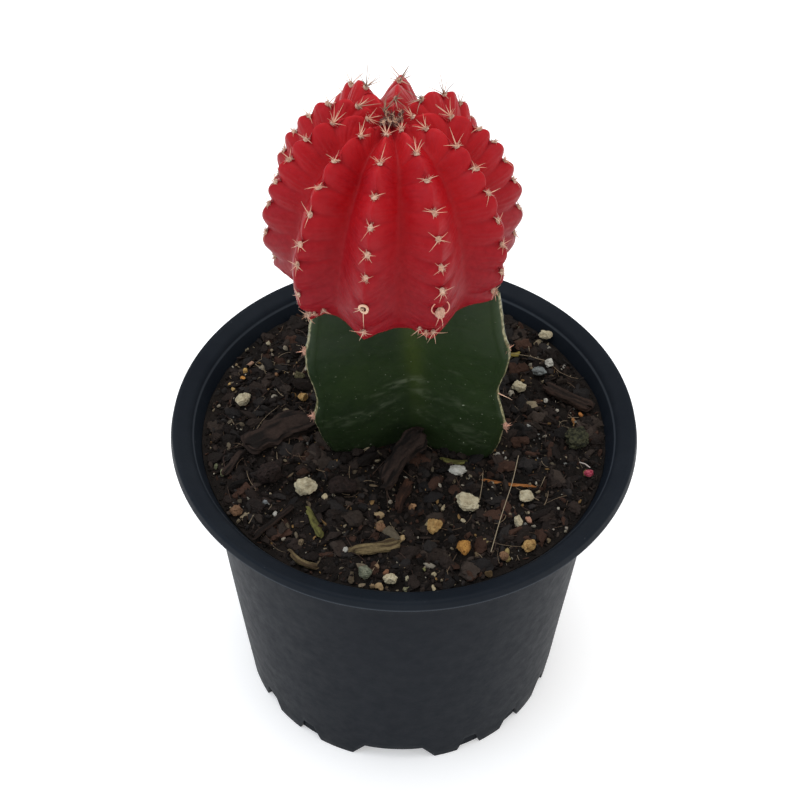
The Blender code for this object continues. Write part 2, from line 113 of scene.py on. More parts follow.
def mesh_object(name, verts, quads=None, tris=None, mat=None, attrs=None,
                shade=True, sharp=None):
    """Object from arrays; verts in mm, attrs {name: (n,) floats or (n, 3) colours}."""
    verts = np.asarray(verts, np.float32).reshape(-1, 3) * MM
    parts, sizes = [], []
    if quads is not None and len(quads):
        parts.append(np.asarray(quads, np.int32).ravel())
        sizes.append(np.full(len(quads), 4, np.int32))
    if tris is not None and len(tris):
        parts.append(np.asarray(tris, np.int32).ravel())
        sizes.append(np.full(len(tris), 3, np.int32))
    loops = np.concatenate(parts)
    counts = np.concatenate(sizes)
    starts = np.concatenate([[0], np.cumsum(counts)[:-1]]).astype(np.int32)
    me = bpy.data.meshes.new(name)
    me.vertices.add(len(verts))
    me.vertices.foreach_set("co", verts.ravel())
    me.loops.add(len(loops))
    me.loops.foreach_set("vertex_index", loops)
    me.polygons.add(len(counts))
    me.polygons.foreach_set("loop_start", starts)
    me.polygons.foreach_set("loop_total", counts)
    me.update(calc_edges=True)
    me.validate()
    if shade:
        me.shade_smooth()
        if sharp is not None:
            me.set_sharp_from_angle(angle=math.radians(sharp))
    for key, val in (attrs or {}).items():
        val = np.asarray(val, np.float32)
        if val.ndim == 1:
            a = me.attributes.new(key, 'FLOAT', 'POINT')
            a.data.foreach_set("value", val)
        else:
            a = me.attributes.new(key, 'FLOAT_COLOR', 'POINT')
            rgba = np.ones((len(val), 4), np.float32)
            rgba[:, :3] = val
            a.data.foreach_set("color", rgba.ravel())
    obj = bpy.data.objects.new(name, me)
    bpy.context.scene.collection.objects.link(obj)
    if mat is not None:
        me.materials.append(mat)
    return obj


def grid_faces(rows, cols, closed=True, flip=False):
    """Quads of a (rows, cols) grid of vertices; closed wraps the columns."""
    i = np.arange(rows - 1)[:, None]
    j = np.arange(cols if closed else cols - 1)[None, :]
    j2 = (j + 1) % cols
    q = np.stack([i * cols + j, (i + 1) * cols + j,
                  (i + 1) * cols + j2, i * cols + j2], -1).reshape(-1, 4)
    return q[:, ::-1] if flip else q


def finish_piece(obj, nodes=()):
    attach(obj, BODY)
    if nodes:
        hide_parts(*nodes)
    return obj


class Pool:
    """Collects many small shapes into one mesh."""

    def __init__(self):
        self.v, self.q, self.t, self.a, self.n = [], [], [], {}, 0

    def add(self, verts, quads=None, tris=None, **attrs):
        verts = np.asarray(verts, float)
        self.v.append(verts)
        if quads is not None and len(quads):
            self.q.append(np.asarray(quads) + self.n)
        if tris is not None and len(tris):
            self.t.append(np.asarray(tris) + self.n)
        for k, val in attrs.items():
            val = np.asarray(val, float)
            if val.ndim == 0:
                val = np.full(len(verts), float(val))
            elif val.ndim == 1 and len(val) == 3 and k.startswith("col"):
                val = np.tile(val, (len(verts), 1))
            self.a.setdefault(k, []).append(val)
        self.n += len(verts)

    def build(self, name, mat, sharp=None):
        return mesh_object(
            name, np.concatenate(self.v),
            np.concatenate(self.q) if self.q else None,
            np.concatenate(self.t) if self.t else None, mat,
            {k: np.concatenate(v) for k, v in self.a.items()}, sharp=sharp)


def tube(path, radii, sides=6, caps=True):
    """Vertices, quads and triangles of a tube along a path (mm)."""
    path = np.asarray(path, float)
    n = len(path)
    radii = np.broadcast_to(np.asarray(radii, float), (n,))
    tang = np.gradient(path, axis=0)
    tang /= np.linalg.norm(tang, axis=1)[:, None] + 1e-12
    ref = np.array([0.31, 0.17, 0.93])
    if abs(tang[0] @ ref) > 0.9:
        ref = np.array([0.93, 0.11, 0.2])
    side = np.cross(tang[0], ref)
    side /= np.linalg.norm(side)
    rings = []
    for k in range(n):
        side = side - tang[k] * (side @ tang[k])
        side /= np.linalg.norm(side) + 1e-12
        up = np.cross(tang[k], side)
        a = np.arange(sides) / sides * math.tau
        rings.append(path[k] + radii[k] * (np.cos(a)[:, None] * side
                                           + np.sin(a)[:, None] * up))
    verts = np.concatenate(rings)
    quads = grid_faces(n, sides, flip=True)
    tris = []
    if caps:
        verts = np.concatenate([verts, path[:1] - tang[:1] * radii[0] * 0.4,
                                path[-1:] + tang[-1:] * radii[-1] * 0.8])
        a, b = n * sides, n * sides + 1
        for j in range(sides):
            j2 = (j + 1) % sides
            tris.append((a, j2, j))
            tris.append((b, (n - 1) * sides + j, (n - 1) * sides + j2))
    return verts, quads, np.array(tris).reshape(-1, 3)


def icosphere(level):
    t = (1 + 5 ** 0.5) / 2
    v = [(-1, t, 0), (1, t, 0), (-1, -t, 0), (1, -t, 0), (0, -1, t), (0, 1, t),
         (0, -1, -t), (0, 1, -t), (t, 0, -1), (t, 0, 1), (-t, 0, -1), (-t, 0, 1)]
    f = [(0, 11, 5), (0, 5, 1), (0, 1, 7), (0, 7, 10), (0, 10, 11), (1, 5, 9),
         (5, 11, 4), (11, 10, 2), (10, 7, 6), (7, 1, 8), (3, 9, 4), (3, 4, 2),
         (3, 2, 6), (3, 6, 8), (3, 8, 9), (4, 9, 5), (2, 4, 11), (6, 2, 10),
         (8, 6, 7), (9, 8, 1)]
    v = [np.array(p, float) / np.linalg.norm(p) for p in v]
    for _ in range(level):
        mid, nf = {}, []
        for a, b, c in f:
            ids = []
            for p, q in ((a, b), (b, c), (c, a)):
                key = (min(p, q), max(p, q))
                if key not in mid:
                    m = v[p] + v[q]
                    v.append(m / np.linalg.norm(m))
                    mid[key] = len(v) - 1
                ids.append(mid[key])
            nf += [(a, ids[0], ids[2]), (b, ids[1], ids[0]), (c, ids[2], ids[1]),
                   tuple(ids)]
        f = nf
    return np.array(v), np.array(f)


ICO = {k: icosphere(k) for k in (0, 1, 2, 3, 4)}


def rot_z(a):
    c, s = math.cos(a), math.sin(a)
    return np.array([[c, -s, 0], [s, c, 0], [0, 0, 1.0]])


def rand_rot(rng):
    q = rng.normal(size=4)
    q /= np.linalg.norm(q)
    w, x, y, z = q
    return np.array([
        [1 - 2 * (y * y + z * z), 2 * (x * y - z * w), 2 * (x * z + y * w)],
        [2 * (x * y + z * w), 1 - 2 * (x * x + z * z), 2 * (y * z - x * w)],
        [2 * (x * z - y * w), 2 * (y * z + x * w), 1 - 2 * (x * x + y * y)]])


def srgb(r, g, b):
    def lin(c):
        c = c / 255.0
        return c / 12.92 if c <= 0.04045 else ((c + 0.055) / 1.055) ** 2.4
    return lin(r), lin(g), lin(b)


# ------------------------------------------------------------------ materials
class Mat:
    """A node material built up step by step."""

    def __init__(self, name, roughness=0.5, metallic=0.0, specular=0.5,
                 subsurface=0.0, radius=(1, 0.2, 0.1), scale=0.001, coat=0.0,
                 coat_roughness=0.3, sheen=0.0):
        self.mat = bpy.data.materials.new(name)
        self.mat.use_nodes = True
        self.tree = self.mat.node_tree
        self.bsdf = self.tree.nodes["Principled BSDF"]
        self.set("Roughness", roughness)
        self.set("Metallic", metallic)
        self.set("Specular IOR Level", specular)
        self.set("Subsurface Weight", subsurface)
        self.set("Subsurface Radius", radius)
        self.set("Subsurface Scale", scale)
        self.set("Coat Weight", coat)
        self.set("Coat Roughness", coat_roughness)
        self.set("Sheen Weight", sheen)
        self.coord = None

    def set(self, key, value):
        self.bsdf.inputs[key].default_value = value

    def node(self, kind, **props):
        n = self.tree.nodes.new(kind)
        for k, v in props.items():
            setattr(n, k, v)
        return n

    def link(self, a, b):
        self.tree.links.new(a, b)

    def put(self, socket, value):
        if isinstance(value, bpy.types.NodeSocket):
            self.link(value, socket)
        elif isinstance(value, (tuple, list)):
            socket.default_value = (*value, 1.0) if len(value) == 3 and \
                socket.type == 'RGBA' else value
        else:
            socket.default_value = value

    def position(self, stretch=(1, 1, 1)):
        if self.coord is None:
            self.coord = self.node("ShaderNodeTexCoord").outputs["Object"]
        if tuple(stretch) == (1, 1, 1):
            return self.coord
        m = self.node("ShaderNodeMapping")
        self.link(self.coord, m.inputs["Vector"])
        m.inputs["Scale"].default_value = stretch
        return m.outputs["Vector"]

    def noise(self, cell_mm, detail=3.0, rough=0.55, stretch=(1, 1, 1),
              distortion=0.0):
        n = self.node("ShaderNodeTexNoise")
        self.link(self.position(stretch), n.inputs["Vector"])
        n.inputs["Scale"].default_value = 1.0 / (cell_mm * MM)
        n.inputs["Detail"].default_value = detail
        n.inputs["Roughness"].default_value = rough
        n.inputs["Distortion"].default_value = distortion
        return n.outputs["Fac"]

    def voronoi(self, cell_mm, feature='F1', stretch=(1, 1, 1), output="Distance"):
        n = self.node("ShaderNodeTexVoronoi", feature=feature)
        self.link(self.position(stretch), n.inputs["Vector"])
        n.inputs["Scale"].default_value = 1.0 / (cell_mm * MM)
        return n.outputs[output]

    def attr(self, name, output="Fac"):
        n = self.node("ShaderNodeAttribute", attribute_name=name)
        return n.outputs[output]

    def ramp(self, fac, stops):
        n = self.node("ShaderNodeValToRGB")
        el = n.color_ramp.elements
        while len(el) < len(stops):
            el.new(0.5)
        for e, (pos, col) in zip(el, stops):
            e.position = pos
            e.color = (*col, 1.0) if not isinstance(col, (int, float)) \
                else (col, col, col, 1.0)
        self.link(fac, n.inputs["Fac"])
        return n.outputs["Color"]

    def range(self, value, a, b, c=0.0, d=1.0):
        n = self.node("ShaderNodeMapRange")
        self.put(n.inputs["Value"], value)
        n.inputs["From Min"].default_value = a
        n.inputs["From Max"].default_value = b
        n.inputs["To Min"].default_value = c
        n.inputs["To Max"].default_value = d
        return n.outputs["Result"]

    def math(self, op, a, b=0.5):
        n = self.node("ShaderNodeMath", operation=op)
        self.put(n.inputs[0], a)
        self.put(n.inputs[1], b)
        return n.outputs[0]

    def mix(self, fac, a, b, blend='MIX'):
        n = self.node("ShaderNodeMix", data_type='RGBA', blend_type=blend)
        self.put(n.inputs["Factor"], fac)
        self.put(n.inputs[6], a)
        self.put(n.inputs[7], b)
        return n.outputs[2]

    def separate(self, vector):
        n = self.node("ShaderNodeSeparateXYZ")
        self.link(vector, n.inputs[0])
        return n.outputs

    def colour(self, value):
        self.put(self.bsdf.inputs["Base Color"], value)

    def rough(self, value):
        self.put(self.bsdf.inputs["Roughness"], value)

    def bump(self, height, strength, distance_mm, normal=None):
        n = self.node("ShaderNodeBump")
        n.inputs["Strength"].default_value = strength
        n.inputs["Distance"].default_value = distance_mm * MM
        self.link(height, n.inputs["Height"])
        if normal is not None:
            self.link(normal, n.inputs["Normal"])
        self.link(n.outputs["Normal"], self.bsdf.inputs["Normal"])
        return n.outputs["Normal"]


# --------------------------------------------------------------------- camera
FOCAL_PX = 1715.8            # for an 800 px wide frame
RIM_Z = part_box("pot")[1].z


def place_camera():
    dist, elev, roll = 0.37142, math.radians(47.085), math.radians(1.085)
    pan, lift = math.atan2(4.61, FOCAL_PX), math.atan2(16.91, FOCAL_PX)
    back = Vector((0.0, -math.cos(elev), math.sin(elev)))
    eye = Vector((0.0, 0.0, RIM_Z)) + back * dist
    fwd = -back
    right = Vector((1.0, 0.0, 0.0))
    up = right.cross(fwd)
    f2 = fwd * math.cos(pan) - right * math.sin(pan)
    r2 = right * math.cos(pan) + fwd * math.sin(pan)
    f3 = f2 * math.cos(lift) + up * math.sin(lift)
    u3 = up * math.cos(lift) - f2 * math.sin(lift)
    r4 = r2 * math.cos(roll) + u3 * math.sin(roll)
    u4 = u3 * math.cos(roll) - r2 * math.sin(roll)
    cam = bpy.data.cameras.new("camera")
    cam.sensor_fit = 'HORIZONTAL'
    cam.sensor_width = 36.0
    cam.lens = FOCAL_PX / 800.0 * 36.0
    cam.clip_start = 0.02
    cam.clip_end = 20.0
    obj = bpy.data.objects.new("camera", cam)
    bpy.context.scene.collection.objects.link(obj)
    m = Matrix((r4, u4, -f3)).transposed().to_4x4()
    m.translation = eye
    obj.matrix_world = m
    bpy.context.scene.camera = obj


place_camera()


# ------------------------------------------------------------ scion (red head)
HEAD = np.array([-3.81, 3.48, 144.65])
TILT = (math.radians(2.0), math.radians(1.27))
CUT_Z = box_mm("rootstock")[1][2] + 0.3
RIBS = 10
RIB_AZ = np.array([-8.2, 24.9, 62.1, 95.6, 135.9, 174.0, 209.5, 247.4, 279.3,
                   318.1])
RIB_REACH = np.array([1.008, 1.013, 1.014, 1.040, 1.038, 1.055, 0.985, 0.945,
                      0.937, 0.982])
TERMS = (23.70, -12.95, 0.57, -0.70, -0.72)
# polar angle of each areole down each rib, degrees
AREOLES = (
    (27, 52, 71, 85, 97, 107, 120, 132),
    (22, 46, 63, 80, 92, 104, 113, 123, 135),
    (33, 54, 70, 84, 98, 109, 121, 131),
    (20, 44, 63, 75, 88, 100, 113, 125),
    (34, 55, 74, 88, 101, 114, 126),
    (26, 50, 67, 82, 95, 107, 118, 129),
    (14, 43, 64, 79, 93, 106, 118, 130),
    (33, 54, 72, 87, 100, 112, 124),
    (23, 48, 68, 83, 96, 107, 120, 132),
    (37, 60, 76, 90, 103, 112, 126, 138),
)
RIB_END = (136, 139, 134, 132, 132, 132, 132, 132, 135, 141)


def head_frame():
    up = np.array([math.sin(TILT[0]), math.sin(TILT[1]), 0.0])
    up[2] = math.sqrt(1 - up[0] ** 2 - up[1] ** 2)
    ex = np.array([1.0, 0, 0])
    ex -= up * (up @ ex)
    ex /= np.linalg.norm(ex)
    return ex, np.cross(up, ex), up


HX, HY, HZ = head_frame()


def grid_normals(p):
    """Unit normals of a (rows, cols, 3) grid whose columns wrap."""
    du = np.roll(p, -1, axis=1) - np.roll(p, 1, axis=1)
    dv = np.gradient(p, axis=0)
    n = np.cross(dv, du)
    n /= np.linalg.norm(n, axis=-1, keepdims=True) + 1e-12
    out = p - p.mean(axis=(0, 1))
    if (n * out).sum() < 0:
        n = -n
    return n


def build_head():
    per, rows = 44, 210
    cols = RIBS * per
    j = np.arange(cols)
    rib = j // per
    u = (j % per) / per
    nxt = (rib + 1) % RIBS
    az0 = RIB_AZ[rib]
    az1 = RIB_AZ[nxt]
    az1 = np.where(az1 < az0, az1 + 360, az1)
    az = np.radians(az0 + (az1 - az0) * u)
    side = 1.0 - np.abs(2.0 * u - 1.0)
    reach = RIB_REACH[rib] * (1 - u) + RIB_REACH[nxt] * u
    ends = np.array(RIB_END, float)
    own = np.where(u < 0.5, rib, nxt)
    end = 131.5 + (ends[own] - 131.5) * (1 - side) ** 1.3
    t = np.linspace(0.004, 1.0, rows)[:, None]
    th_deg = t * end[None, :]
    th = np.radians(th_deg)

    rho = sum(c * np.cos(k * th) for k, c in enumerate(TERMS))
    drho = sum(-k * c * np.sin(k * th) for k, c in enumerate(TERMS))
    r = rho * np.sin(th)
    h = rho * np.cos(th)
    tr = drho * np.sin(th) + rho * np.cos(th)
    tz = drho * np.cos(th) - rho * np.sin(th)
    ln = np.hypot(tr, tz)
    nr, nz = -tz / ln, np.clip(tr / ln, 0, None)
    m = np.hypot(nr, nz)
    nr, nz = nr / m, nz / m
    growth = np.clip(th_deg / 62.0, 0, 1) ** 0.8
    low = smooth(108, 134, th_deg)
    rng = np.random.default_rng(5)
    groove_gain = 1.0 + 0.10 * rng.normal(size=RIBS)[rib]
    valley = side ** 1.18 * (1.29 - 0.29 * side ** 4)
    depth = 5.0 * groove_gain * growth * (1 - 0.34 * low) * valley
    r2 = np.maximum(0.0, r * reach - nr * depth)
    h2 = h - nz * depth
    wob = 0.0
    out = HX[None, None] * np.sin(az)[None, :, None] \
        - HY[None, None] * np.cos(az)[None, :, None]
    base = HEAD + out * r2[..., None] + HZ * (h2 + wob)[..., None]
    nrm = grid_normals(base)

    # position within each tubercle, 0 at its areole, growing outwards
    v = np.zeros_like(th_deg)
    gap = np.zeros_like(th_deg)
    for k in range(RIBS):
        a = list(AREOLES[k])
        first = a[1] - a[0]
        seq = [a[0] - first * (i + 1) * 0.62 for i in range(3)][::-1] + a
        seq += [a[-1] + 12, a[-1] + 24]
        idx = np.arange(len(seq), dtype=float)
        cols_k = own == k
        f = np.interp(th_deg[:, cols_k], seq, idx)
        v[:, cols_k] = f - np.floor(f)
    growth2 = smooth(8, 42, th_deg)
    s = side[None, :]
    p3 = base.reshape(-1, 3)
    n_big = fbm(p3, 11.0, 3, 2).reshape(v.shape)
    n_mid = fbm(p3, 3.2, 9, 3).reshape(v.shape)
    # creases bend a little as they run down the flank
    vv = (v + 0.03 * n_mid * s + 0.05 * n_big) % 1.0
    # the folds arch upwards into the grooves low down, downwards near the top
    arch = (0.55 * smooth(70, 112, th_deg) - 0.45 * smooth(62, 25, th_deg)
            ) * s ** 1.5
    vv = (vv + arch) % 1.0
    w = ((vv + 0.09) % 1.0) ** 0.85
    chin = np.sin(np.pi * w) ** 0.9
    # deep scallops on the sides, softer ones facing forwards
    facing = np.cos(np.radians((RIB_AZ[own] - 5.0)))[None, :]
    lower = smooth(60, 100, th_deg)
    amp = growth2 * (1.75 - 0.75 * smooth(0.3, 1.0, facing) * lower
                     + 0.2 * n_big)
    d = amp * (chin - 0.84) * (1 - s) ** 2.5
    d += 0.10 * growth2 * (chin - 0.5) * np.sin(np.pi * s) ** 0.8
    def dist(a, b):
        x = np.abs(a - b)
        return np.minimum(x, 1 - x)
    crease = np.exp(-(dist(vv, 0.915) / 0.07) ** 2)
    fade = (1 - s ** 5)
    d -= growth2 * crease * fade * (0.07 + 0.15 * (1 - s) ** 2) \
        * smooth(18, 60, th_deg) * (0.8 + 0.8 * n_big)
    # finer transverse folds on the flanks
    for pos, wid, gain in ((0.22, 0.03, 0.10), (0.42, 0.035, 0.13),
                           (0.63, 0.03, 0.11), (0.78, 0.025, 0.07)):
        shift = 0.06 * n_big
        d -= gain * growth2 * np.exp(-(dist(vv + shift, pos) / wid) ** 2) \
            * np.sin(np.pi * np.clip(s * 0.9 + 0.05, 0, 1)) \
            * smooth(-0.5, 0.5, n_mid + 0.3)
    d += 0.30 * n_big * growth2 + 0.13 * n_mid \
        + 0.04 * fbm(p3, 1.1, 21, 2).reshape(v.shape)
    # a shallow seat under each wool pad
    seat = np.exp(-((dist(v, 0.0)) / 0.11) ** 2) * np.exp(-(s / 0.13) ** 2)
    d -= 0.16 * seat * growth2
    pts = base + nrm * d[..., None]
    # normals of the displaced skin
    nrm2 = grid_normals(pts)

    # rim turned under to the flat graft face
    last = pts[-1]
    cx, cy = HEAD[0], HEAD[1]
    rings = []
    for k, (shrink, dz) in enumerate(((0.975, -0.35), (0.94, -0.42),
                                      (0.88, -0.1), (0.80, 0.0))):
        q = last.copy()
        q[:, 0] = cx + (q[:, 0] - cx) * shrink
        q[:, 1] = cy + (q[:, 1] - cy) * shrink
        tz = np.minimum(last[:, 2], CUT_Z + 0.9) + dz
        mixk = (0.0, 0.25, 0.75, 1.0)[k]
        q[:, 2] = tz * (1 - mixk) + (CUT_Z + 0.02) * mixk
        rings.append(q)
    allp = np.concatenate([pts] + [q[None] for q in rings])
    rows_all = len(allp)
    verts = allp.reshape(-1, 3)
    apex = pts[0].mean(axis=0)
    foot = np.array([cx, cy, CUT_Z + 0.02])
    verts = np.concatenate([verts, [apex], [foot]])
    quads = grid_faces(rows_all, cols, flip=False)
    na = len(verts) - 2
    tris = [(na, k, (k + 1) % cols) for k in range(cols)]
    base_i = (rows_all - 1) * cols
    tris += [(na + 1, base_i + (k + 1) % cols, base_i + k) for k in range(cols)]

    def ext(a, fill=0.0):
        full = np.full((rows_all, cols), fill)
        full[:rows] = a
        full[rows:] = a[-1]
        return np.concatenate([full.ravel(), [fill, fill]])
    attrs = {
        "groove": ext(np.broadcast_to(s, v.shape) * 1.0),
        "crease": ext(crease * fade * growth2),
        "chin": ext(chin * (1 - s)),
        "lat": ext(th_deg / 140.0),
    }
    return verts, quads, np.array(tris), attrs, pts, nrm2, (per, rows, end)


def head_material():
    m = Mat("head_flesh_skin", roughness=0.46, specular=0.09, subsurface=0.18,
            radius=(1.0, 0.12, 0.10), scale=0.0022)
    groove = m.attr("groove")
    crease = m.attr("crease")
    lat = m.attr("lat")
    crest_col = srgb(156, 19, 27)
    deep_col = srgb(148, 4, 11)
    c = m.mix(m.range(groove, 0.15, 0.95), crest_col, deep_col)
    # purplish, duller bloom in patches
    bloom = m.noise(7.0, 3.0, 0.6)
    c = m.mix(m.range(bloom, 0.52, 0.78, 0.0, 0.42), c, srgb(150, 34, 44))
    # painted light: the upper flanks of the head are lighter
    c = m.mix(m.range(lat, 0.42, 0.16, 0.0, 0.55), c, srgb(188, 38, 43))
    # painted shade, with a purplish tone, on the lower part towards the graft
    c = m.mix(m.range(lat, 0.56, 0.90, 0.0, 0.80), c, srgb(106, 15, 25))
    # painted shade at the bottom of each groove
    c = m.mix(m.range(groove, 0.80, 1.0, 0.0, 0.40), c, srgb(116, 2, 9))
    c = m.mix(m.range(lat, 0.20, 0.02, 0.0, 0.6), c, srgb(96, 16, 22))
    fine = m.noise(1.1, 4.0, 0.65)
    c = m.mix(m.range(fine, 0.3, 0.75, 0.0, 0.28), c, srgb(176, 40, 46))
    dull = m.noise(3.4, 4.0, 0.62)
    c = m.mix(m.range(dull, 0.50, 0.72, 0.0, 0.30), c, srgb(124, 16, 25))
    # painted shade along the creases of the tubercles
    c = m.mix(m.range(crease, 0.1, 1.0, 0.0, 0.22), c, srgb(116, 8, 18))
    # pale flecks of epidermis
    fleck = m.noise(0.45, 2.0, 0.5)
    c = m.mix(m.range(fleck, 0.72, 0.80, 0.0, 0.30), c, srgb(190, 92, 90))
    m.colour(c)
    m.rough(m.range(m.noise(2.4, 3.0), 0.3, 0.7, 0.34, 0.50))
    cells = m.voronoi(0.16, 'F1')
    h1 = m.noise(0.55, 3.0, 0.6)
    n = m.bump(h1, 0.35, 0.10)
    m.bump(cells, 0.12, 0.04, n)
    return m.mat


head_data = build_head()
verts, quads, tris, attrs, HP, HN, (PER, ROWS, ENDS) = head_data
head = mesh_object("scion_skin", verts, quads, tris, head_material(), attrs)
finish_piece(head, ["scion"])


# --------------------------------------------------- areoles: wool and spines
def head_areole(k, deg):
    col = k * PER
    row = int(round((deg / ENDS[col]) * (ROWS - 1)))
    row = min(max(row, 1), ROWS - 3)
    p = HP[row, col]
    n = HN[row, (col - 2) % (RIBS * PER)] + HN[row, (col + 2) % (RIBS * PER)] \
        + HN[row, col] + HN[max(row - 6, 0), col] + HN[min(row + 6, ROWS - 1), col]
    n /= np.linalg.norm(n)
    down = HP[min(row + 8, ROWS - 1), col] - HP[max(row - 8, 0), col]
    down -= n * (down @ n)
    down /= np.linalg.norm(down)
    return p, n, down, np.cross(n, down)


def spine(pool, p, n, down, right, angle, length, lift, bend, radius, rng,
          tone):
    """angle in the skin's plane from 'down' towards 'right', lift off it."""
    a, e = math.radians(angle), math.radians(lift)
    flat = down * math.cos(a) + right * math.sin(a)
    d0 = flat * math.cos(e) + n * math.sin(e)
    k = 9
    t = np.linspace(0, 1, k)[:, None]
    path = p + d0 * length * t + (-n) * (bend * length * t ** 2) \
        + np.cross(d0, n) * (rng.normal() * 0.05 * length * t ** 2)
    rad = radius * (1 - t[:, 0] * 0.78)
    v, q, tr = tube(path, rad, 6)
    along = np.concatenate([np.repeat(t[:, 0], 6), [0.0, 1.0]])
    pool.add(v, q, tr, along=along, tone=tone)


def wool(pool, hair, p, n, down, right, size, rng, seed, tone=None):
    shade = rng.uniform(0.1, 1.0) if tone is None else tone
    v, f = ICO[3]
    a, b, c = size
    k = 1.0 + 0.20 * fbm(v * 10.0, 7.0, seed, 3)
    loc = v * np.array([a, b, c]) * k[:, None]
    loc[:, 2] = np.maximum(loc[:, 2], -0.45 * c)
    world = p + loc[:, :1] * right + loc[:, 1:2] * down + loc[:, 2:3] * n
    pool.add(world, None, f, along=0.0, tone=shade)
    for _ in range(26):
        a0 = rng.uniform(0, math.tau)
        rr = rng.uniform(0.1, 0.95) ** 0.5
        start = p + right * a * rr * math.cos(a0) + down * b * rr * math.sin(a0) \
            + n * c * math.sqrt(max(0, 1 - rr * rr)) * 0.8
        d = n * rng.uniform(0.2, 0.9) + right * math.cos(a0) * rng.uniform(0.2, 1) \
            + down * math.sin(a0) * rng.uniform(0.2, 1) + rng.normal(size=3) * 0.35
        d /= np.linalg.norm(d)
        ln = rng.uniform(0.35, 0.8)
        t = np.linspace(0, 1, 4)[:, None]
        path = start + d * ln * t + rng.normal(size=3) * 0.15 * ln * t ** 2
        vv, q, tr = tube(path, 0.045 * (1 - 0.6 * t[:, 0]), 3)
        hair.add(vv, q, tr, along=0.3,
                 tone=rng.uniform(0, 1) if tone is None else tone)


def spine_material():
    m = Mat("spine_horn", roughness=0.5, specular=0.25, subsurface=0.12,
            radius=(1.0, 0.6, 0.4), scale=0.0006)
    along = m.attr("along")
    tone = m.attr("tone")
    base = m.mix(tone, srgb(214, 150, 128), srgb(218, 184, 156))
    # tone above 1 greys the spine; on the back ribs this grey is painted shade of
    # spines seen in silhouette
    c = m.mix(m.range(tone, 1.0, 2.0), base, srgb(104, 98, 84))
    c = m.mix(m.range(along, 0.55, 1.0, 0.0, 0.55), c, srgb(120, 92, 78))
    c = m.mix(m.range(m.noise(0.5, 2.0), 0.4, 0.7, 0.0, 0.35), c,
              srgb(176, 116, 98))
    m.colour(c)
    m.bump(m.noise(0.12, 2.0), 0.3, 0.02)
    return m.mat


def wool_material():
    m = Mat("areole_wool", roughness=0.88, specular=0.12, sheen=0.15)
    tone = m.attr("tone")
    c = m.mix(tone, srgb(196, 150, 128), srgb(216, 186, 164))
    c = m.mix(m.range(tone, 0.0, -1.0), c, srgb(96, 56, 52))
    c = m.mix(m.range(m.noise(0.35, 4.0, 0.7), 0.44, 0.66, 0.0, 0.7), c,
              srgb(118, 88, 70))
    m.colour(c)
    m.bump(m.noise(0.16, 4.0, 0.7), 0.8, 0.10)
    return m.mat


SPINE_MAT = spine_material()
WOOL_MAT = wool_material()


def pad_with_spines(spines, pads, hairs, place, rng, seed, width, reach,
                    count, upright, grey=0.0, spread=125.0, wool_tone=None):
    p, n, down, right = place
    size = (width, width * rng.uniform(1.2, 1.75), 0.30 + 0.12 * rng.random())
    wool(pads, hairs, p + n * 0.10, n, down, right, size, rng, seed,
         wool_tone)
    tilt = rng.normal() * 16
    angles = np.linspace(-spread, spread, count) + rng.normal(size=count) * 13
    for ang in angles:
        ln = reach * rng.uniform(0.62, 1.12)
        lift = 20 + 34 * upright + rng.normal() * 8
        spine(spines, p + n * 0.28, n, down, right, ang + tilt, ln, lift,
              0.08 + 0.14 * rng.random(), 0.090 * rng.uniform(0.85, 1.2), rng,
              rng.random() + grey)
    if upright > 0.3:
        for _ in range(2 if upright > 0.6 else 1):
            spine(spines, p + n * 0.28, n, down, right, rng.uniform(-180, 180),
                  reach * rng.uniform(0.9, 1.25), 70 + rng.normal() * 7, 0.05,
                  0.11, rng, rng.random() + grey)


def ring_of_spine(pool, p, n, down, right, radius, thick, tone, squash=1.0):
    a = np.linspace(0, math.tau, 41)
    path = p + radius * (np.cos(a)[:, None] * right
                         + squash * np.sin(a)[:, None] * down) \
        + n * (0.35 + 0.12 * np.sin(a * 2)[:, None])
    v, q, tr = tube(path, thick, 7, caps=False)
    pool.add(v, q, None, along=0.1, tone=tone)


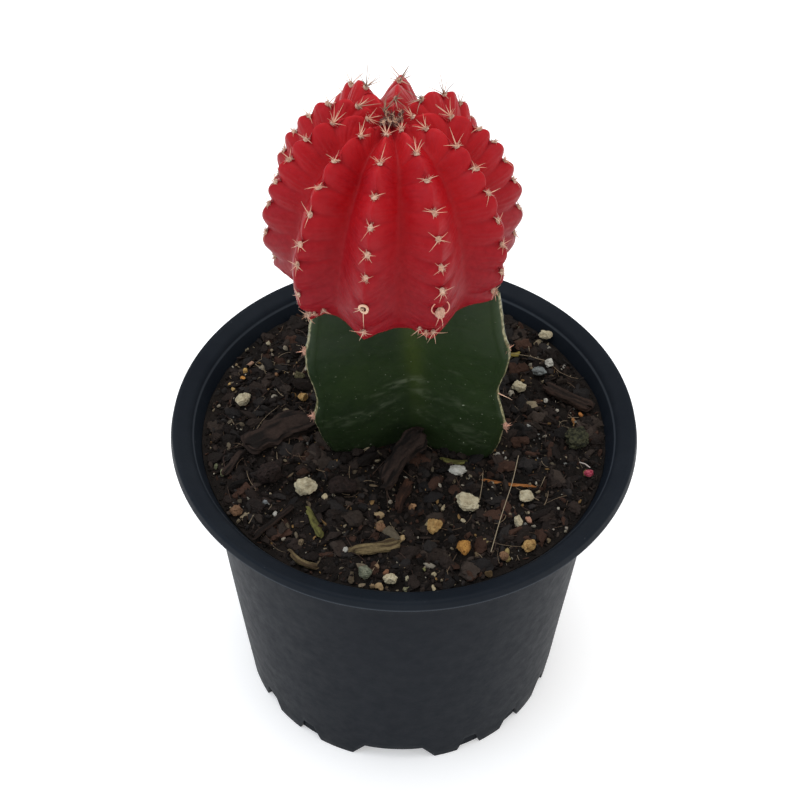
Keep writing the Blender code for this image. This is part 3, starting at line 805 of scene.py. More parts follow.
def build_spines():
    rng = np.random.default_rng(23)
    spines, pads, hairs = Pool(), Pool(), Pool()
    for k in range(RIBS):
        for i, deg in enumerate(AREOLES[k]):
            place = head_areole(k, deg)
            p, n, down, right = place
            grown = float(smooth(12, 50, deg))
            width = (0.34 + 0.13 * grown) * rng.uniform(0.85, 1.15)
            upright = 1 - float(smooth(34, 74, deg))
            # those that stand against the sky get painted shade: they are coloured
            # grey
            back = float(smooth(0.1, 0.7, -math.cos(math.radians(RIB_AZ[k]))))
            sky = back * (1 - float(smooth(48, 96, deg)))
            reach = (2.4 + 1.4 * upright + 0.4 * rng.random() + 2.2 * sky) \
                * (0.55 + 0.45 * grown)
            upright = max(upright, 0.8 * sky)
            if k == 0 and i == 6:
                # a spine curled round a dark seat
                ring_of_spine(spines, p, n, down, right, 0.82, 0.26, 0.95)
                wool(pads, hairs, p, n, down, right, (0.5, 0.5, 0.3), rng, 5,
                     -1.0)
                for ang, ln in ((4, 4.6), (-55, 2.6), (-72, 2.0)):
                    spine(spines, p + n * 0.3, n, down, right, ang, ln, 10,
                          0.1, 0.12, rng, 0.9)
                continue
            if k == 1 and i == 7:
                # an old flower stub with a spine looped round it
                ring_of_spine(spines, p - down * 1.2, n, down, right, 1.75,
                              0.11, 0.1, 0.9)
                v, f = ICO[3]
                q = v * (1 + 0.35 * fbm(v * 3, 1.0, 9, 3))[:, None]
                q = q * np.array([0.95, 1.25, 0.55])
                q = p + q[:, :1] * right + q[:, 1:2] * down + q[:, 2:] * n \
                    + n * 0.25
                pads.add(q, None, f, along=0.0, tone=0.15)
                for ang, ln in ((-20, 2.8), (14, 3.4)):
                    spine(spines, p + n * 0.3, n, down, right, ang, ln, 14,
                          0.1, 0.11, rng, 0.4)
                continue
            count = int(rng.integers(3, 6)) + (1 if upright > 0.5 else 0)
            # grey: painted shade on the spines of the back ribs
            pad_with_spines(spines, pads, hairs, place, rng, k * 31 + i, width,
                            reach, count, upright, grey=1.3 * min(1.0, 1.4 * back)
                            * (0.3 + 0.7 * upright))
    # crowded young areoles round the growing point
    for j in range(13):
        k = j % RIBS
        deg = (7.5, 11.0, 5.0, 9.0, 13.0)[j % 5]
        place = head_areole(k, deg)
        pad_with_spines(spines, pads, hairs, place, rng, 700 + j, 0.42, 1.15, 3,
                        0.75, grey=0.5, wool_tone=-1.0)
    # small tufts along the lower edge, between the hanging rib tips
    total = RIBS * PER
    for k, u, reach in ((9, 0.10, 1.6), (9, 0.18, 1.3), (9, 0.30, 1.7),
                        (0, 0.80, 2.4), (0, 0.90, 2.0), (8, 0.88, 1.5),
                        (9, 0.02, 2.0), (2, 0.06, 1.6)):
        col = (k * PER + int(u * PER)) % total
        row = ROWS - 5
        p = HP[row, col]
        n = HN[row, col]
        down = HP[row + 2, col] - HP[row - 5, col]
        down -= n * (down @ n)
        down /= np.linalg.norm(down)
        pad_with_spines(spines, pads, hairs, (p, n, down, np.cross(n, down)),
                        rng, 800 + int(u * 50) + k, 0.28, reach, 3, 0.1,
                        spread=55.0)
    finish_piece(spines.build("head_spines", SPINE_MAT))
    finish_piece(pads.build("head_areole_wool", WOOL_MAT))
    finish_piece(hairs.build("head_areole_hairs", WOOL_MAT))


build_spines()


# ------------------------------------------------- rootstock (green 3 wings)
SX, SY = 1.0, 3.0
WINGS = (-61.0, 60.0, 180.0)
STEM_LOW, STEM_HIGH = box_mm("rootstock")[0][2], box_mm("rootstock")[1][2]
REACH_LEFT = ((50, 6), (56, 9.4), (60, 11.5), (66, 14.6), (71, 16.9),
              (74.8, 19.2), (79, 21.3), (84.6, 22.75), (86.6, 22.5), (91, 21.9),
              (95, 22.5), (100, 23.9), (104, 24.25), (106, 24.0), (114, 23.1),
              (121, 21.6))
REACH_RIGHT = ((50, 6), (56, 10), (60, 12.5), (66, 16), (71, 18.9), (78, 21.9),
               (85, 23), (87.5, 22.9), (91, 21.6), (94.6, 20.7), (100.7, 22.1),
               (105.4, 22.6), (108, 21.7), (111.7, 20.6), (119, 19.5),
               (121, 19.2))
REACH_BACK = ((50, 6), (56, 9.8), (60, 12.0), (66, 15.3), (71, 18.2), (77, 21.4),
              (84, 22.8), (88, 22.9), (93, 21.6), (97, 21.4), (102, 22.9),
              (106, 23.2), (110, 22.5), (115, 20.9), (121, 20.2))
# heights of the margin cushions on each wing
MARGIN_AREOLES = ((106.4, 86.6), (107.6, 85.2), (105.8, 87.0))


def soft_table(table, z):
    x = np.linspace(48, 123, 601)
    y = np.interp(x, [a for a, _ in table], [b for _, b in table])
    k = np.exp(-np.linspace(-3, 3, 25) ** 2 / 2)
    y = np.convolve(np.pad(y, 12, mode='edge'), k / k.sum(), mode='valid')
    return np.interp(z, x, y)


def wing_reach(w, z):
    return soft_table((REACH_LEFT, REACH_RIGHT, REACH_BACK)[w], z)


def stem_outline(z, flank=30, tip=15):
    """Closed outlines at heights z: points (n, m, 2), tip share and wing index."""
    z = np.asarray(z, float)
    pts, near, along_at = [], [], []
    root_half = 4.3
    bulge = 1 + 0.25 * np.clip((90 - z) / 16, 0, 1)
    tip_half = 1.25
    for w, az in enumerate(WINGS):
        d = np.array([math.sin(math.radians(az)), -math.cos(math.radians(az))])
        p = np.array([-d[1], d[0]])
        reach = wing_reach(w, z)
        a0 = 6.2 * 0.62
        one, onet = [], []
        for k in range(flank):
            t = k / (flank - 1.0)
            al = a0 + t * (reach - 1.25 - a0)
            half = root_half * (1 - t) + tip_half * t \
                + 0.9 * math.sin(math.pi * t) * bulge
            one.append((al, half))
            onet.append(t * 0.93)
        for k in range(1, tip + 1):
            a = math.pi / 2 * k / (tip + 0.0)
            one.append((reach - 1.25 + 1.25 * math.sin(a) ** 0.9,
                        tip_half * np.ones_like(z) * max(math.cos(a), 0) ** 0.8))
            onet.append(0.93 + 0.07 * math.sin(a))
        left = [(al, -hf, t) for (al, hf), t in zip(one, onet)]
        right = [(al, hf, t) for (al, hf), t in zip(one[:-1], onet[:-1])][::-1]
        # travel round the wing from one side to the other
        for al, hf, t in left + right:
            pts.append(np.stack([al * d[0] + hf * p[0], al * d[1] + hf * p[1]],
                                -1))
            near.append(np.full_like(z, t))
            along_at.append(np.full_like(z, w))
    return np.stack(pts, 1), np.stack(near, 1), np.stack(along_at, 1)


def build_stem():
    rows = 210
    z = np.linspace(STEM_LOW + 0.3, STEM_HIGH, rows)
    xy, near, wing = stem_outline(z)
    cols = xy.shape[1]
    # round the valleys between wings
    valley = smooth(0.34, 0.0, near) if False else np.clip(1 - near / 0.30, 0, 1)
    for _ in range(26):
        avg = (np.roll(xy, 1, 1) + np.roll(xy, -1, 1)) / 2
        xy = xy + (avg - xy) * (0.75 * (valley > 0.02) * np.minimum(
            1, valley * 3))[..., None]
    lean = 0.35 * np.sin((z - 74) / 26.0)[:, None]
    p = np.stack([SX + xy[..., 0] + lean, SY + xy[..., 1],
                  np.broadcast_to(z[:, None], near.shape)], -1)
    n = grid_normals(p)
    flat = p.reshape(-1, 3)
    big = fbm(flat, 16.0, 41, 2).reshape(near.shape)
    mid = fbm(flat, 4.2, 43, 3).reshape(near.shape)
    fine = fbm(flat, 1.2, 47, 2).reshape(near.shape)
    d = 0.55 * big + 0.12 * mid * (1 - near ** 4) + 0.035 * fine
    # faint creases slanting down towards the soil
    crease = np.zeros_like(near)
    for w, (zc, slope, wid, gain) in enumerate(
            ((83.5, 9.0, 1.5, 0.30), (82.0, 8.0, 1.4, 0.26), (84, 8, 1.5, 0.3))):
        zz = zc + slope * (0.55 - near)
        crease += gain * np.exp(-((p[..., 2] - zz) / wid) ** 2) \
            * (wing == w) * smooth(0.0, 0.3, near) * smooth(1.0, 0.7, near)
    d += crease * 0.8
    horn = smooth(0.985, 1.0, near)
    corky = fbm(flat, 0.9, 53, 2).reshape(near.shape)
    d += horn * (0.14 * corky + 0.05)
    # little pad seats where the cushions sit
    for w in range(3):
        for za in MARGIN_AREOLES[w]:
            hump = np.exp(-((p[..., 2] - za) / 1.3) ** 2) * (wing == w) * horn
            d += 0.45 * hump
    top_pull = smooth(STEM_HIGH - 0.5, STEM_HIGH, p[..., 2])
    p = p + n * (d * (1 - top_pull))[..., None]
    rowsn, cols = p.shape[:2]
    verts = p.reshape(-1, 3)
    low = np.array([SX, SY, STEM_LOW])
    high = np.array([SX, SY, STEM_HIGH])
    verts = np.concatenate([verts, [low], [high]])
    quads = grid_faces(rowsn, cols)
    a, b = len(verts) - 2, len(verts) - 1
    tris = [(a, k, (k + 1) % cols) for k in range(cols)]
    base = (rowsn - 1) * cols
    tris += [(b, base + (k + 1) % cols, base + k) for k in range(cols)]

    def ext(x):
        return np.concatenate([x.ravel(), [0.0, 0.0]])
    front = np.exp(-((p[..., 0] - (SX + 0.6 + 0.09 * (100 - p[..., 2]))) / 2.1)
                   ** 2) * (p[..., 1] < SY)
    dust = np.zeros_like(near)
    fleck = fbm(flat * np.array([1, 1, 2.0]), 1.6, 59, 4).reshape(near.shape)
    for x0, z0, wx, wz, tilt, gain in (
            (0.8, 93.2, 3.6, 1.1, 0.15, 1.0), (-3.4, 91.6, 3.4, 0.8, 0.35, 0.8),
            (4.2, 90.0, 3.0, 1.0, -0.25, 0.7), (8.2, 98.6, 2.2, 0.5, -0.15, 0.9),
            (12.0, 89.6, 4.0, 0.9, -0.1, 0.45), (-9.5, 85.6, 5.0, 1.0, 0.2, 0.55),
            (-13.0, 83.8, 4.0, 0.8, 0.15, 0.5), (11.0, 82.6, 4.2, 1.8, 0, 0.45),
            (14.5, 78.6, 2.6, 1.8, 0, 0.55), (-4.0, 87.6, 3.0, 0.9, 0.3, 0.5),
            (3.0, 84.6, 5.0, 1.4, 0, 0.35), (13.6, 93.6, 1.6, 0.4, -0.3, 0.6)):
        dz = p[..., 2] - z0 - tilt * (p[..., 0] - x0)
        dust += gain * np.exp(-((p[..., 0] - x0) / wx) ** 2 - (dz / wz) ** 2) \
            * (p[..., 1] < SY + 2)
    dust = np.clip(dust * smooth(-0.25, 0.55, fleck) * 1.5, 0, 1)
    # side marks the right half of the stem, which the material paints lighter as
    # painted light
    attrs = {"near": ext(near), "valley": ext(front), "dust": ext(dust),
             "horn": ext(smooth(0.9968, 0.9995, near)),
             "side": ext(np.where(p[..., 0] < SX, 0.0, 1.0)
                         * np.ones_like(near))}
    return verts, quads, np.array(tris), attrs


def stem_material():
    m = Mat("stem_skin", roughness=0.46, specular=0.16, subsurface=0.06,
            radius=(0.35, 1.0, 0.2), scale=0.0009)
    pos = m.separate(m.position())
    c = m.mix(m.range(m.noise(12.0, 3.0), 0.35, 0.65), srgb(27, 40, 22),
              srgb(36, 50, 26))
    # painted light: the right half of the stem is lighter
    c = m.mix(m.range(m.attr("side"), 0, 1, 0.0, 0.35), c, srgb(42, 58, 27))
    # yellow-green seam down the front valley
    c = m.mix(m.math('MULTIPLY', m.attr("valley"),
                     m.range(pos["Z"], 0.083, 0.100, 0.10, 0.60)),
              c, srgb(58, 70, 24))
    mott = m.noise(1.7, 4.0, 0.6)
    c = m.mix(m.range(mott, 0.5, 0.75, 0.0, 0.30), c, srgb(44, 57, 31))
    c = m.mix(m.range(m.noise(0.6, 3.0), 0.25, 0.45, 0.25, 0.0), c,
              srgb(20, 30, 16))
    # darker and dustier low down
    low = m.range(pos["Z"], 0.094, 0.074, 0.0, 1.0)
    c = m.mix(m.math('MULTIPLY', low, 0.45), c, srgb(24, 31, 19))
    dust = m.noise(2.6, 5.0, 0.72, stretch=(1, 1, 2.2))
    c = m.mix(m.math('MULTIPLY', m.range(dust, 0.56, 0.74, 0.0, 0.34),
                     m.range(pos["Z"], 0.100, 0.086, 0.0, 1.0)),
              c, srgb(88, 98, 74))
    c = m.mix(m.math('MULTIPLY', m.attr("dust"), 0.34), c, srgb(112, 120, 98))
    speck = m.noise(0.55, 1.5, 0.4)
    c = m.mix(m.math('MULTIPLY', m.range(speck, 0.735, 0.78, 0.0, 0.8),
                     m.range(pos["Z"], 0.108, 0.088, 0.15, 1.0)),
              c, srgb(150, 156, 136))
    c = m.mix(m.attr("horn"), c,
              m.mix(m.range(m.noise(0.8, 3.0), 0.35, 0.6), srgb(158, 152, 118),
                    srgb(86, 82, 52)))
    m.colour(c)
    m.rough(m.range(m.noise(1.9, 3.0), 0.3, 0.7, 0.36, 0.56))
    n = m.bump(m.noise(0.35, 3.0, 0.6), 0.25, 0.06)
    m.bump(m.voronoi(0.14), 0.10, 0.03, n)
    return m.mat


v_, q_, t_, a_ = build_stem()
finish_piece(mesh_object("stem_skin_body", v_, q_, t_, stem_material(), a_),
             ["rootstock"])


def build_stem_marks():
    """Margin cushions with short spines."""
    rng = np.random.default_rng(77)
    spines, pads, hairs = Pool(), Pool(), Pool()
    for w, az in enumerate(WINGS):
        d = np.array([math.sin(math.radians(az)), -math.cos(math.radians(az)),
                      0.0])
        for za in MARGIN_AREOLES[w]:
            reach = float(wing_reach(w, np.array([za]))[0])
            p = np.array([SX, SY, za]) + d * (reach + 0.35)
            n = d + np.array([0, 0, 0.15])
            n /= np.linalg.norm(n)
            down = np.array([0, 0, -1.0])
            down -= n * (down @ n)
            down /= np.linalg.norm(down)
            right = np.cross(n, down)
            wool(pads, hairs, p, n, down, right, (0.60, 1.0, 0.45), rng,
                 900 + w * 7 + int(za), -0.15)
            for ang in rng.uniform(-160, 160, 2):
                spine(spines, p + n * 0.3, n, down, right, ang,
                      rng.uniform(0.9, 1.8), 40 + rng.normal() * 12, 0.1, 0.13,
                      rng, rng.random() * 0.6)
    # one longer spine low on the right margin
    z0 = 93.9
    r0 = float(wing_reach(1, np.array([z0]))[0])
    d = np.array([math.sin(math.radians(60)), -math.cos(math.radians(60)), 0.0])
    p = np.array([SX, SY, z0]) + d * r0
    spine(spines, p, d, np.array([0, 0, -1.0]), np.array([1.0, 0, 0]), 60, 3.2,
          20, 0.1, 0.13, rng, 0.9)
    finish_piece(spines.build("stem_margin_spines", SPINE_MAT))
    finish_piece(pads.build("stem_margin_wool", WOOL_MAT))
    finish_piece(hairs.build("stem_margin_hairs", WOOL_MAT))


build_stem_marks()


# ------------------------------------------------------------------------ pot
NOTCHES = ((-1.6, 1), (26.6, 0), (45.0, 0), (64.0, 0), (84.0, 0), (118.4, 1),
           (148.4, 0), (168.4, 0), (188.4, 0), (208.4, 0), (238.4, 1),
           (266.0, 0), (286.0, 0), (306.2, 0), (325.8, 0))
NOTCH_TOP = 5.0


def notch_height(az, which=(0, 1)):
    """Height of the wall's lower edge at azimuths (deg from the front)."""
    out = np.zeros_like(az)
    for mid, wide in NOTCHES:
        if wide not in which:
            continue
        g, t = (15.0, 10.3) if wide else (4.6, 2.2)
        off = np.abs((az - mid + 180) % 360 - 180)
        h = NOTCH_TOP * np.clip((g - off) / (g - t), 0, 1)
        out = np.maximum(out, h)
    return out


def rounded(profile, radii, steps=5):
    """Profile (n, 2) with each inner corner rounded."""
    pts = [profile[0]]
    for i in range(1, len(profile) - 1):
        a, b, c = (np.array(profile[k], float) for k in (i - 1, i, i + 1))
        ra = radii.get(i, 0.0)
        if ra <= 0:
            pts.append(tuple(b))
            continue
        u, v = a - b, c - b
        lu, lv = np.linalg.norm(u), np.linalg.norm(v)
        k = min(ra, lu * 0.45, lv * 0.45)
        p0, p1 = b + u / lu * k, b + v / lv * k
        for s in np.linspace(0, 1, steps):
            pts.append(tuple((1 - s) ** 2 * p0 + 2 * s * (1 - s) * b
                             + s * s * p1))
    pts.append(profile[-1])
    return np.array(pts)


def resample(profile, step):
    out = [profile[0]]
    for a, b in zip(profile[:-1], profile[1:]):
        ln = float(np.hypot(*(np.array(b) - np.array(a))))
        n = max(1, int(math.ceil(ln / step)))
        for k in range(1, n + 1):
            out.append(np.array(a) + (np.array(b) - np.array(a)) * k / n)
    return np.array(out)


def build_pot():
    corners = []
    for mid, wide in NOTCHES:
        g, t = (15.0, 10.3) if wide else (4.6, 2.2)
        corners += [(mid + k) % 360 for k in (-g, -t, t, g)]
    az = np.arange(600) * 0.6
    gap = np.abs((az[:, None] - np.array(corners)[None] + 180) % 360 - 180)
    az = np.sort(np.concatenate([az[gap.min(1) > 0.22], corners]))
    cols = len(az)
    zb = notch_height(az)
    through = notch_height(az, (1,))
    # from the bottom of the inside, up, over the lip and down to the foot
    prof = [(0.0, 4.4), (34.9, 4.4), (35.7, 5.2), (42.35, 67.0), (42.9, 70.4),
            (44.2, 73.4), (45.3, 75.4), (46.3, 76.9), (49.1, 77.95), (49.7, 78.0),
            (50.1, 77.65), (50.5, 75.9), (50.25, 75.7), (49.4, 75.7),
            (49.1, 76.5), (48.0, 76.1), (46.5, 75.0), (45.2, 72.9), (44.0, 70.0),
            (43.2, 67.0)]
    top = rounded(prof, {1: 0.3, 2: 0.5, 3: 3, 4: 2, 5: 1.5, 6: 1, 7: 1.0,
                         8: 0.35, 9: 0.25, 10: 0.4, 11: 0.14, 12: 0.1, 13: 0.2,
                         14: 0.3, 15: 0.8, 16: 1.2, 17: 1.6, 18: 1.5}, 6)
    top = resample(top, 3.0)
    blocks = []
    az_r = np.radians(az)
    sx, sy = np.sin(az_r), -np.cos(az_r)

    def ring(r, z):
        r = np.broadcast_to(r, (cols,))
        z = np.broadcast_to(z, (cols,))
        return np.stack([r * sx, r * sy, z], -1)
    for r, z in top[1:]:
        blocks.append(ring(r, z))
    # wall, following the notched lower edge
    wall_rows = 34
    for k in range(1, wall_rows + 1):
        s = k / wall_rows
        s = s ** 0.92
        lowest = zb + 0.38
        z = 67.0 + (lowest - 67.0) * s
        r = 43.2 + (37.15 - 43.2) * (67.0 - z) / 66.6
        blocks.append(ring(r, z))
    wall_end = len(blocks)
    blocks.append(ring(37.1 - 0.06 + 0 * zb, zb + 0.12))
    blocks.append(ring(36.88, zb + 0.0))
    blocks.append(ring(36.4, zb))
    blocks.append(ring(36.12, zb - 0.04 * (zb > 0.1)))
    blocks.append(ring(36.06, through))
    blocks.append(ring(35.7, through))
    blocks.append(ring(35.5, through + 0.1 * (through < 2.5)))
    blocks.append(ring(35.5, 3.0))
    blocks.append(ring(35.2, 3.0))
    blocks.append(ring(30.0, 3.0))
    p = np.stack(blocks)
    # the outer wall radius keeps to the taper where the notch lifts the edge
    for k in (wall_end, wall_end + 1):
        z = p[k, :, 2]
        r = 43.2 + (37.15 - 43.2) * (67.0 - z) / 66.6 - (0.05, 0.26)[k - wall_end]
        p[k] = ring(r, z)
    n = grid_normals(p)
    # very slight unevenness of the moulded wall
    flat = p.reshape(-1, 3)
    wave = fbm(flat, 34.0, 61, 2).reshape(p.shape[:2])
    soft = smooth(1.0, 6.0, p[..., 2]) * smooth(76.0, 66.0, p[..., 2])
    p = p + n * (0.16 * wave * soft)[..., None]
    rows = len(p)
    verts = p.reshape(-1, 3)
    quads = grid_faces(rows, cols)
    me = mesh_object("pot_shell", verts, quads, None, None, {}, sharp=32)
    return me


def pot_material():
    m = Mat("pot_plastic_black", roughness=0.44, specular=0.056)
    pos = m.separate(m.position())
    c = m.mix(m.range(m.noise(24.0, 3.0), 0.35, 0.65), srgb(19, 24, 31),
              srgb(23, 28, 34))
    # dry film and dust
    film = m.noise(9.0, 5.0, 0.66, stretch=(1, 1, 0.35))
    c = m.mix(m.range(film, 0.45, 0.75, 0.0, 0.07), c, srgb(58, 64, 74))
    spots = m.noise(0.9, 2.0, 0.5)
    c = m.mix(m.range(spots, 0.74, 0.80, 0.0, 0.16), c, srgb(96, 98, 100))
    # painted shade: the wall below the lip is darker than the rim
    c = m.mix(m.range(pos["Z"], 0.069, 0.066, 0.0, 0.62), c, srgb(7, 12, 20))
    # a faint painted highlight line just above the lip's lower edge
    lip_highlight = m.math('MULTIPLY', m.range(pos["Z"], 0.0756, 0.0758, 0.0, 1.0),
                  m.range(pos["Z"], 0.0763, 0.0760, 0.0, 1.0))
    c = m.mix(m.math('MULTIPLY', lip_highlight, 0.16), c, srgb(120, 128, 138))
    m.colour(c)
    r = m.range(m.noise(3.0, 5.0, 0.7), 0.3, 0.7, 0.42, 0.56)
    m.rough(r)
    grain = m.noise(0.42, 3.0, 0.55)
    n = m.bump(grain, 0.22, 0.05)
    m.bump(m.noise(14.0, 2.0, 0.5, stretch=(1, 1, 0.25)), 0.12, 0.35, n)
    return m.mat


POT_MAT = pot_material()
pot = build_pot()
pot.data.materials.append(POT_MAT)
finish_piece(pot, ["pot"])


def build_pot_floor():
    """Floor of the pot with its drain holes, seen only from below."""
    pool = Pool()
    holes = [(21.0 * math.sin(math.radians(36 + 72 * k)),
              -21.0 * math.cos(math.radians(36 + 72 * k))) for k in range(5)]
    # polar sheet whose vertices slide out of the holes
    rr = np.linspace(0.02, 35.6, 60)
    aa = np.arange(240) / 240 * math.tau
    r, a = np.meshgrid(rr, aa, indexing='ij')
    x, y = r * np.sin(a), -r * np.cos(a)
    inside = np.zeros_like(x, bool)
    for hx, hy in holes:
        dx, dy = x - hx, y - hy
        dd = np.hypot(dx, dy)
        core = dd < 3.0
        inside |= dd < 2.4
        k = np.where(core & (dd > 1e-6), 3.0 / np.maximum(dd, 1e-6), 1.0)
        k = np.where(dd < 2.4, 1.0, k)
        x, y = hx + dx * k, hy + dy * k
    quads = grid_faces(len(rr), 240)
    keep = ~inside.ravel()[quads].any(axis=1)
    q = quads[keep]
    under = np.stack([x, y, np.full_like(x, 3.0)], -1).reshape(-1, 3)
    over = np.stack([x, y, np.full_like(x, 4.4)], -1).reshape(-1, 3)
    pool.add(under, q)
    pool.add(over, q[:, ::-1])
    for hx, hy in holes:
        t = np.arange(64) / 64 * math.tau
        lo = np.stack([hx + 3.0 * np.cos(t), hy + 3.0 * np.sin(t),
                       np.full(64, 3.0)], -1)
        hi = lo + np.array([0, 0, 1.4])
        pool.add(np.concatenate([lo, hi]), grid_faces(2, 64))
    return pool.build("pot_floor", POT_MAT, sharp=30)


finish_piece(build_pot_floor())


# ----------------------------------------------------------------------- soil
SOIL_Z = 73.5


def soil_relief(x, y):
    p = np.stack([x, y, np.zeros_like(x)], -1).reshape(-1, 3)
    h = 0.62 * fbm(p, 11.0, 71, 3) + 0.30 * fbm(p, 3.0, 73, 3)
    r = np.hypot(x, y).reshape(-1)
    stem = np.hypot(x - SX, y - SY).reshape(-1)
    h = h - 0.35 * smooth(38, 43.5, r) + 0.25 * np.exp(-(stem / 16) ** 2)
    return (SOIL_Z + h).reshape(x.shape)


_gx = np.linspace(-46, 46, 461)
_mx, _my = np.meshgrid(_gx, _gx, indexing='ij')
RELIEF = soil_relief(_mx, _my)


def soil_height(x, y):
    """Height of the potting mix at x, y, from a 0.2 mm table."""
    fx = np.clip((np.asarray(x, float) + 46) / 0.2, 0, 459.999)
    fy = np.clip((np.asarray(y, float) + 46) / 0.2, 0, 459.999)
    i, j = fx.astype(int), fy.astype(int)
    a, b = fx - i, fy - j
    return (RELIEF[i, j] * (1 - a) * (1 - b) + RELIEF[i + 1, j] * a * (1 - b)
            + RELIEF[i, j + 1] * (1 - a) * b + RELIEF[i + 1, j + 1] * a * b)


def in_stem(x, y, margin=0.0):
    hit = np.zeros(np.shape(x), bool)
    for w, az in enumerate(WINGS):
        d = (math.sin(math.radians(az)), -math.cos(math.radians(az)))
        al = (x - SX) * d[0] + (y - SY) * d[1]
        ac = np.abs((x - SX) * d[1] - (y - SY) * d[0])
        reach = float(wing_reach(w, np.array([74.0]))[0])
        t = np.clip(al / reach, 0, 1)
        half = 4.3 * (1 - t) + 1.2 * t + 0.9 * np.sin(np.pi * t)
        hit |= (al > -2) & (al < reach - margin) & (ac < half - margin)
    return hit


PALETTE = np.array([srgb(*c) for c in (
    (18, 15, 14), (24, 19, 17), (29, 24, 22), (34, 29, 27), (40, 33, 30),
    (46, 38, 34), (40, 37, 36), (56, 48, 43), (30, 28, 28), (60, 42, 34))])
PALE = np.array([srgb(*c) for c in (
    (124, 108, 86), (150, 136, 112), (172, 164, 148), (110, 100, 84),
    (140, 110, 70), (98, 86, 70))])


def soil_material():
    m = Mat("potting_mix", roughness=0.9, specular=0.12)
    col = m.attr("col", "Color")
    n1 = m.noise(0.5, 4.0, 0.7)
    c = m.mix(m.range(n1, 0.30, 0.70, 0.0, 0.55), col,
              m.mix(0.55, col, (0.004, 0.003, 0.002)))
    c = m.mix(m.range(m.noise(0.22, 3.0), 0.60, 0.80, 0.0, 0.30), c,
              srgb(92, 80, 70))
    m.colour(c)
    n = m.bump(m.noise(0.30, 4.0, 0.7), 1.0, 0.17)
    m.bump(m.noise(0.9, 3.0, 0.6), 0.8, 0.38, n)
    return m.mat


def crumb_material():
    m = Mat("pale_crumb", roughness=0.85, specular=0.15)
    col = m.attr("col", "Color")
    c = m.mix(m.range(m.noise(0.3, 3.0, 0.7), 0.35, 0.65, 0.0, 0.6), col,
              m.mix(0.5, col, (0.03, 0.022, 0.016)))
    m.colour(c)
    m.bump(m.noise(0.2, 4.0, 0.7), 0.7, 0.08)
    return m.mat


SOIL_MAT = soil_material()
CRUMB_MAT = crumb_material()


def build_soil():
    rows, cols = 150, 420
    rr = 43.95 * np.linspace(0.002, 1, rows) ** 0.75
    aa = np.arange(cols) / cols * math.tau
    r, a = np.meshgrid(rr, aa, indexing='ij')
    x, y = r * np.sin(a), -r * np.cos(a)
    z = soil_height(x, y)
    p = np.stack([x, y, z], -1)
    side = []
    for rad, zz in ((43.9, 72.6), (42.8, 69.0), (35.6, 5.2), (34.8, 4.5)):
        side.append(np.stack([rad * np.sin(aa), -rad * np.cos(aa),
                              np.full(cols, zz)], -1))
    p = np.concatenate([p, np.stack(side)])
    verts = np.concatenate([p.reshape(-1, 3), [[0, 0, z[0].mean()]],
                            [[0, 0, 4.5]]])
    quads = grid_faces(len(p), cols)
    n = len(verts)
    tris = [(n - 2, k, (k + 1) % cols) for k in range(cols)]
    b = (len(p) - 1) * cols
    tris += [(n - 1, b + (k + 1) % cols, b + k) for k in range(cols)]
    tint = np.clip(0.5 + 0.9 * fbm(verts, 2.2, 79, 3), 0, 1)[:, None]
    col = (1 - tint) * np.array(srgb(14, 12, 11)) + tint * np.array(
        srgb(32, 27, 24))
    obj = mesh_object("soil_ground", verts, quads, np.array(tris), SOIL_MAT,
                      {"col": col})
    return finish_piece(obj, ["soil"])


build_soil()


def cut_stone(v, rng, cuts, keep=(0.62, 0.92)):
    """Unit-sphere points flattened by random planes, for angular grains."""
    v = v.copy()
    for _ in range(cuts):
        d = rng.normal(size=3)
        d /= np.linalg.norm(d)
        k = rng.uniform(*keep)
        over = np.maximum(0, v @ d - k)
        v -= over[:, None] * d
    return v


LOOSE = []          # (x, y, radius) of pieces that grains keep clear of


def crumb(level, rng, cuts, rough):
    """One rough angular grain shape on a unit scale."""
    v = cut_stone(ICO[level][0], rng, cuts, (0.42, 0.9))
    v = v + ICO[level][0] * (rough * fbm(v * 2.2 + rng.uniform(0, 90, 3), 1.0,
                                         int(rng.integers(99)), 3))[:, None]
    return v


